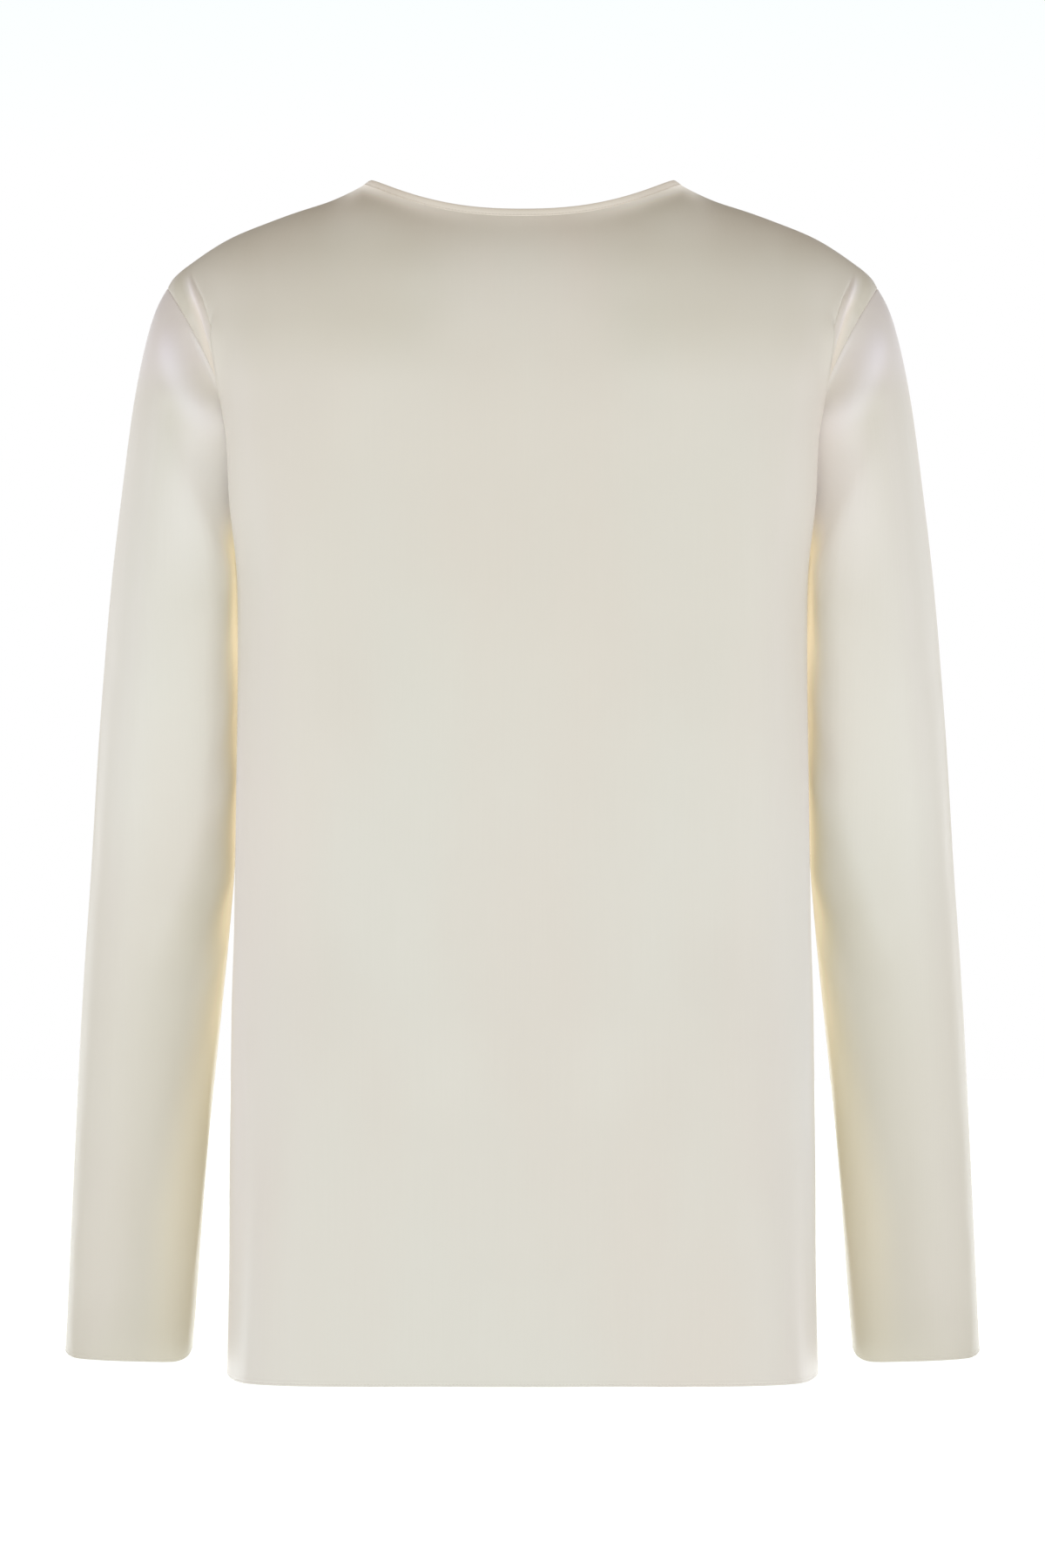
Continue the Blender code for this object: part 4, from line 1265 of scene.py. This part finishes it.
def spindle():
    """Points and faces of one stitch along x from -0.5 to 0.5, round with radius 1, its ends dipped."""
    turn = np.linspace(0, 2 * math.pi, SPINDLE_SIDES, endpoint=False)
    rings = [(at - 0.5, radius * math.cos(a), radius * math.sin(a) - SPINDLE_DIP * (2 * at - 1) ** 4)
             for at, radius in SPINDLE[1:-1] for a in turn]
    points = np.array([(-0.5, 0, -SPINDLE_DIP)] + rings + [(0.5, 0, -SPINDLE_DIP)])
    sides, last = SPINDLE_SIDES, len(points) - 1
    faces = []
    for k in range(sides):
        after = (k + 1) % sides
        faces.append((0, 1 + after, 1 + k))
        faces.append((last, last - sides + k, last - sides + after))
        for ring in range(len(SPINDLE) - 3):
            a, b = 1 + ring * sides + k, 1 + ring * sides + after
            faces += [(a, b, b + sides), (a, b + sides, a + sides)]
    return points, np.array(faces)


def stitch_points(line, normals, closed=False):
    """Copies of the spindle along a line, on the side that the normals point to."""
    shape = spindle()[0]
    if closed:
        line, normals = (np.concatenate((part, part[:1])) for part in (line, normals))
    length = lengths(line)
    count = int(length[-1] / STITCH_PITCH)
    at = (np.arange(count) + 0.5) * length[-1] / count
    slope = np.gradient(line, length, axis=0)
    centre, up, ahead = (points_at(at, length, part) for part in (line, normals, slope))
    up = unit(up)
    ahead = unit(ahead - (ahead * up).sum(1, keepdims=True) * up)
    aside = np.cross(up, ahead)
    size = shape * (STITCH_LONG, STITCH_WIDE, STITCH_HIGH)
    return (centre[:, None] - STITCH_SINK * up[:, None] + size[None, :, :1] * ahead[:, None]
            + size[None, :, 1:2] * aside[:, None] + size[None, :, 2:] * up[:, None])


def stitches_object(name, rows):
    """One mesh of all the stitches of some rows."""
    shape, faces = spindle()
    points = np.concatenate([row.reshape(-1, 3) for row in rows])
    copies = np.arange(len(points) // len(shape)) * len(shape)
    return piece_object(name, points, [(faces[None] + copies[:, None, None]).reshape(-1, 3)], thread)


def thread_material():
    """Silk thread: two plies twisted at about two turns to a stitch, with a soft gloss."""
    material, tree, shader = new_material("silk_thread")
    place = add_node(tree, "ShaderNodeTexCoord")
    wave = add_node(tree, "ShaderNodeTexWave", wave_type="BANDS", bands_direction="DIAGONAL")
    set_sockets(wave, {"Scale": 900.0})
    tree.links.new(place.outputs["Object"], wave.inputs["Vector"])
    fade = cloth_noise(tree, place.outputs["Object"], (60.0, 60.0, 60.0), 1.0)
    tint = mix_colours(tree, value_range(tree, fade, 0.35, 0.65, 0.0, 1.0), THREAD_DARK, THREAD_PALE)
    # Painted shade: the twist's bands mix the tint towards a darker colour in the grooves between the plies
    groove = value_range(tree, wave.outputs["Fac"], 0.0, 1.0, 0.0, 0.25)
    tree.links.new(mix_colours(tree, groove, tint, THREAD_GROOVE_SHADE), shader.inputs["Base Color"])
    set_sockets(shader, {"Roughness": 0.45, "Sheen Weight": 0.1})
    twist = add_node(tree, "ShaderNodeBump")
    set_sockets(twist, {"Distance": 0.00003})
    tree.links.new(wave.outputs["Fac"], twist.inputs["Height"])
    tree.links.new(twist.outputs["Normal"], shader.inputs["Normal"])
    return material


thread = thread_material()
stitches = {}
for name, one, row in (("hem_stitches_back", back, STITCH_ROW), ("hem_stitches_front", front, STITCH_ROW),
                       ("cuff_stitches_left", left, -1 - STITCH_ROW),
                       ("cuff_stitches_right", right, -1 - STITCH_ROW)):
    stitches[name] = stitches_object(name, [
        stitch_points(one[face][row, 3:-3], way * one["normals"][row, 3:-3])
        for face, way in (("outer", 1), ("inner", -1))])
neck_normals = binding_frames()[2]
stitch_at, stitch_high = BINDING_STITCH
stitches["neck_stitches"] = stitches_object("neck_stitches", [
    stitch_points(binding_points(stitch_at, side * stitch_high), side * neck_normals, closed=True)
    for side in (1, -1)])
print("stitches:", sum(len(piece.data.vertices) for piece in stitches.values()) // len(spindle()[0]))

# %% [markdown]
# ## Seams on the inside
#
# A fine blouse has French seams: the raw edges are closed inside a narrow fold that lies flat against one
# piece. Each is a strip about 5 mm wide just under the inner face. Its section, a flat rounded loop, is given
# by distances from the seam and depths under the face, and runs along the seam on the piece's own rows.

# %% French seams
SEAM_SECTION = ((0.3, 0.10), (0.15, 0.35), (0.4, 0.62), (1.2, 0.72), (2.8, 0.72), (4.2, 0.66), (4.9, 0.45),
                (5.0, 0.22), (4.6, 0.05), (2.5, 0.0))


def seam_strip(name, face, inward):
    """A strip under the inner face. Each row of the grids runs from the seam across the piece, and the
    section's points are found on it by their distance from the seam."""
    distance = cell_lengths(face, 1)
    wanted = np.array(SEAM_SECTION)
    away, depth = wanted[:, 0], wanted[:, 1:]
    points = np.array([points_at(away, known, row) + points_at(away, known, down) * depth
                       for known, row, down in zip(distance, face, inward)])
    count, sides = points.shape[:2]
    ids = ring_ids(count, sides)
    girth = lengths(np.concatenate((wanted, wanted[:1])))
    ends = np.stack((ids[0, :-1][::-1], ids[-1, :-1]))
    uv = loop_uv(lengths(points[:, 0]), girth)
    return piece_object(name, points.reshape(-1, 3), [quads(ids), ends], satin,
                        [uv, np.zeros((2, sides, 2))], {"inner": np.ones(count * sides)})


def side_strip(name, one, side, first, last):
    """The seam along a piece's first (side -1) or last (side 1) column, between two rows."""
    face, normal = (one[key][first:last, ::-side] for key in ("inner", "normals"))
    return seam_strip(name, face, -normal)


def top_strip(name, one, first, last, step):
    """The seam along a piece's first row (step 1) or last row (step -1), between two columns."""
    face, normal = (one[key][::step, first:last].swapaxes(0, 1) for key in ("inner", "normals"))
    return seam_strip(name, face, -normal)


columns = back["inner"].shape[1]
shoulder = columns // 2 + round(NECK_SHARE * HALF_GIRTH / COLUMN_STEP)
seams = {}
for name, side, one in (("left", 1, left), ("right", -1, right)):
    first, last = (shoulder, -2) if side > 0 else (2, columns - shoulder)
    seams[name] = [side_strip("side_seam_" + name, back, side, 3, UNDERARM_ROW + 1),
                   top_strip("shoulder_seam_" + name, back, first, last, -1),
                   top_strip("armhole_seam_" + name, one, 2, -2, 1),
                   side_strip("sleeve_seam_" + name, one, 1, 2, -3)]
print("French seams:", sum(len(group) for group in seams.values()))

# %% [markdown]
# ## What each piece is
#
# Last, every piece and what is sewn on it ride on one body, and each cloth shell stands for the plain wall
# of the imported model that it replaces, which is hidden. The table gives the size of each piece's flat
# cut.

NECK_LENGTH = MM * float(run[-1])
BINDING_BOX = 0.0105
BINDING_SHOWS = 0.0065
# Piece, node, slot, box of the flat cut, its area, what it hangs from, what is sewn on it
CUTS = (
    (back["piece"], "back_panel", "satin", (0.524, 0.705), 0.336, ["front_satin"],
     [stitches["hem_stitches_back"], *seams["left"][:2], *seams["right"][:2]]),
    (front["piece"], "front_panel", "satin", (0.510, 0.700), 0.308, ["back_satin"],
     [stitches["hem_stitches_front"]]),
    (left["piece"], "sleeve_left", "satin", (0.330, 0.635), 0.158, ["back_satin", "front_satin"],
     [stitches["cuff_stitches_left"], *seams["left"][2:]]),
    (right["piece"], "sleeve_right", "satin", (0.330, 0.635), 0.158, ["back_satin", "front_satin"],
     [stitches["cuff_stitches_right"], *seams["right"][2:]]),
    (binding, "neck_binding", "binding", (BINDING_BOX, NECK_LENGTH), BINDING_SHOWS * NECK_LENGTH,
     ["back_satin", "front_satin"], [stitches["neck_stitches"]]),
)
for piece, node, slot, flat, area, hangs_from, sewn_on in CUTS:
    for part in (piece, *sewn_on):
        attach(part, "root")
    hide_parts(node)
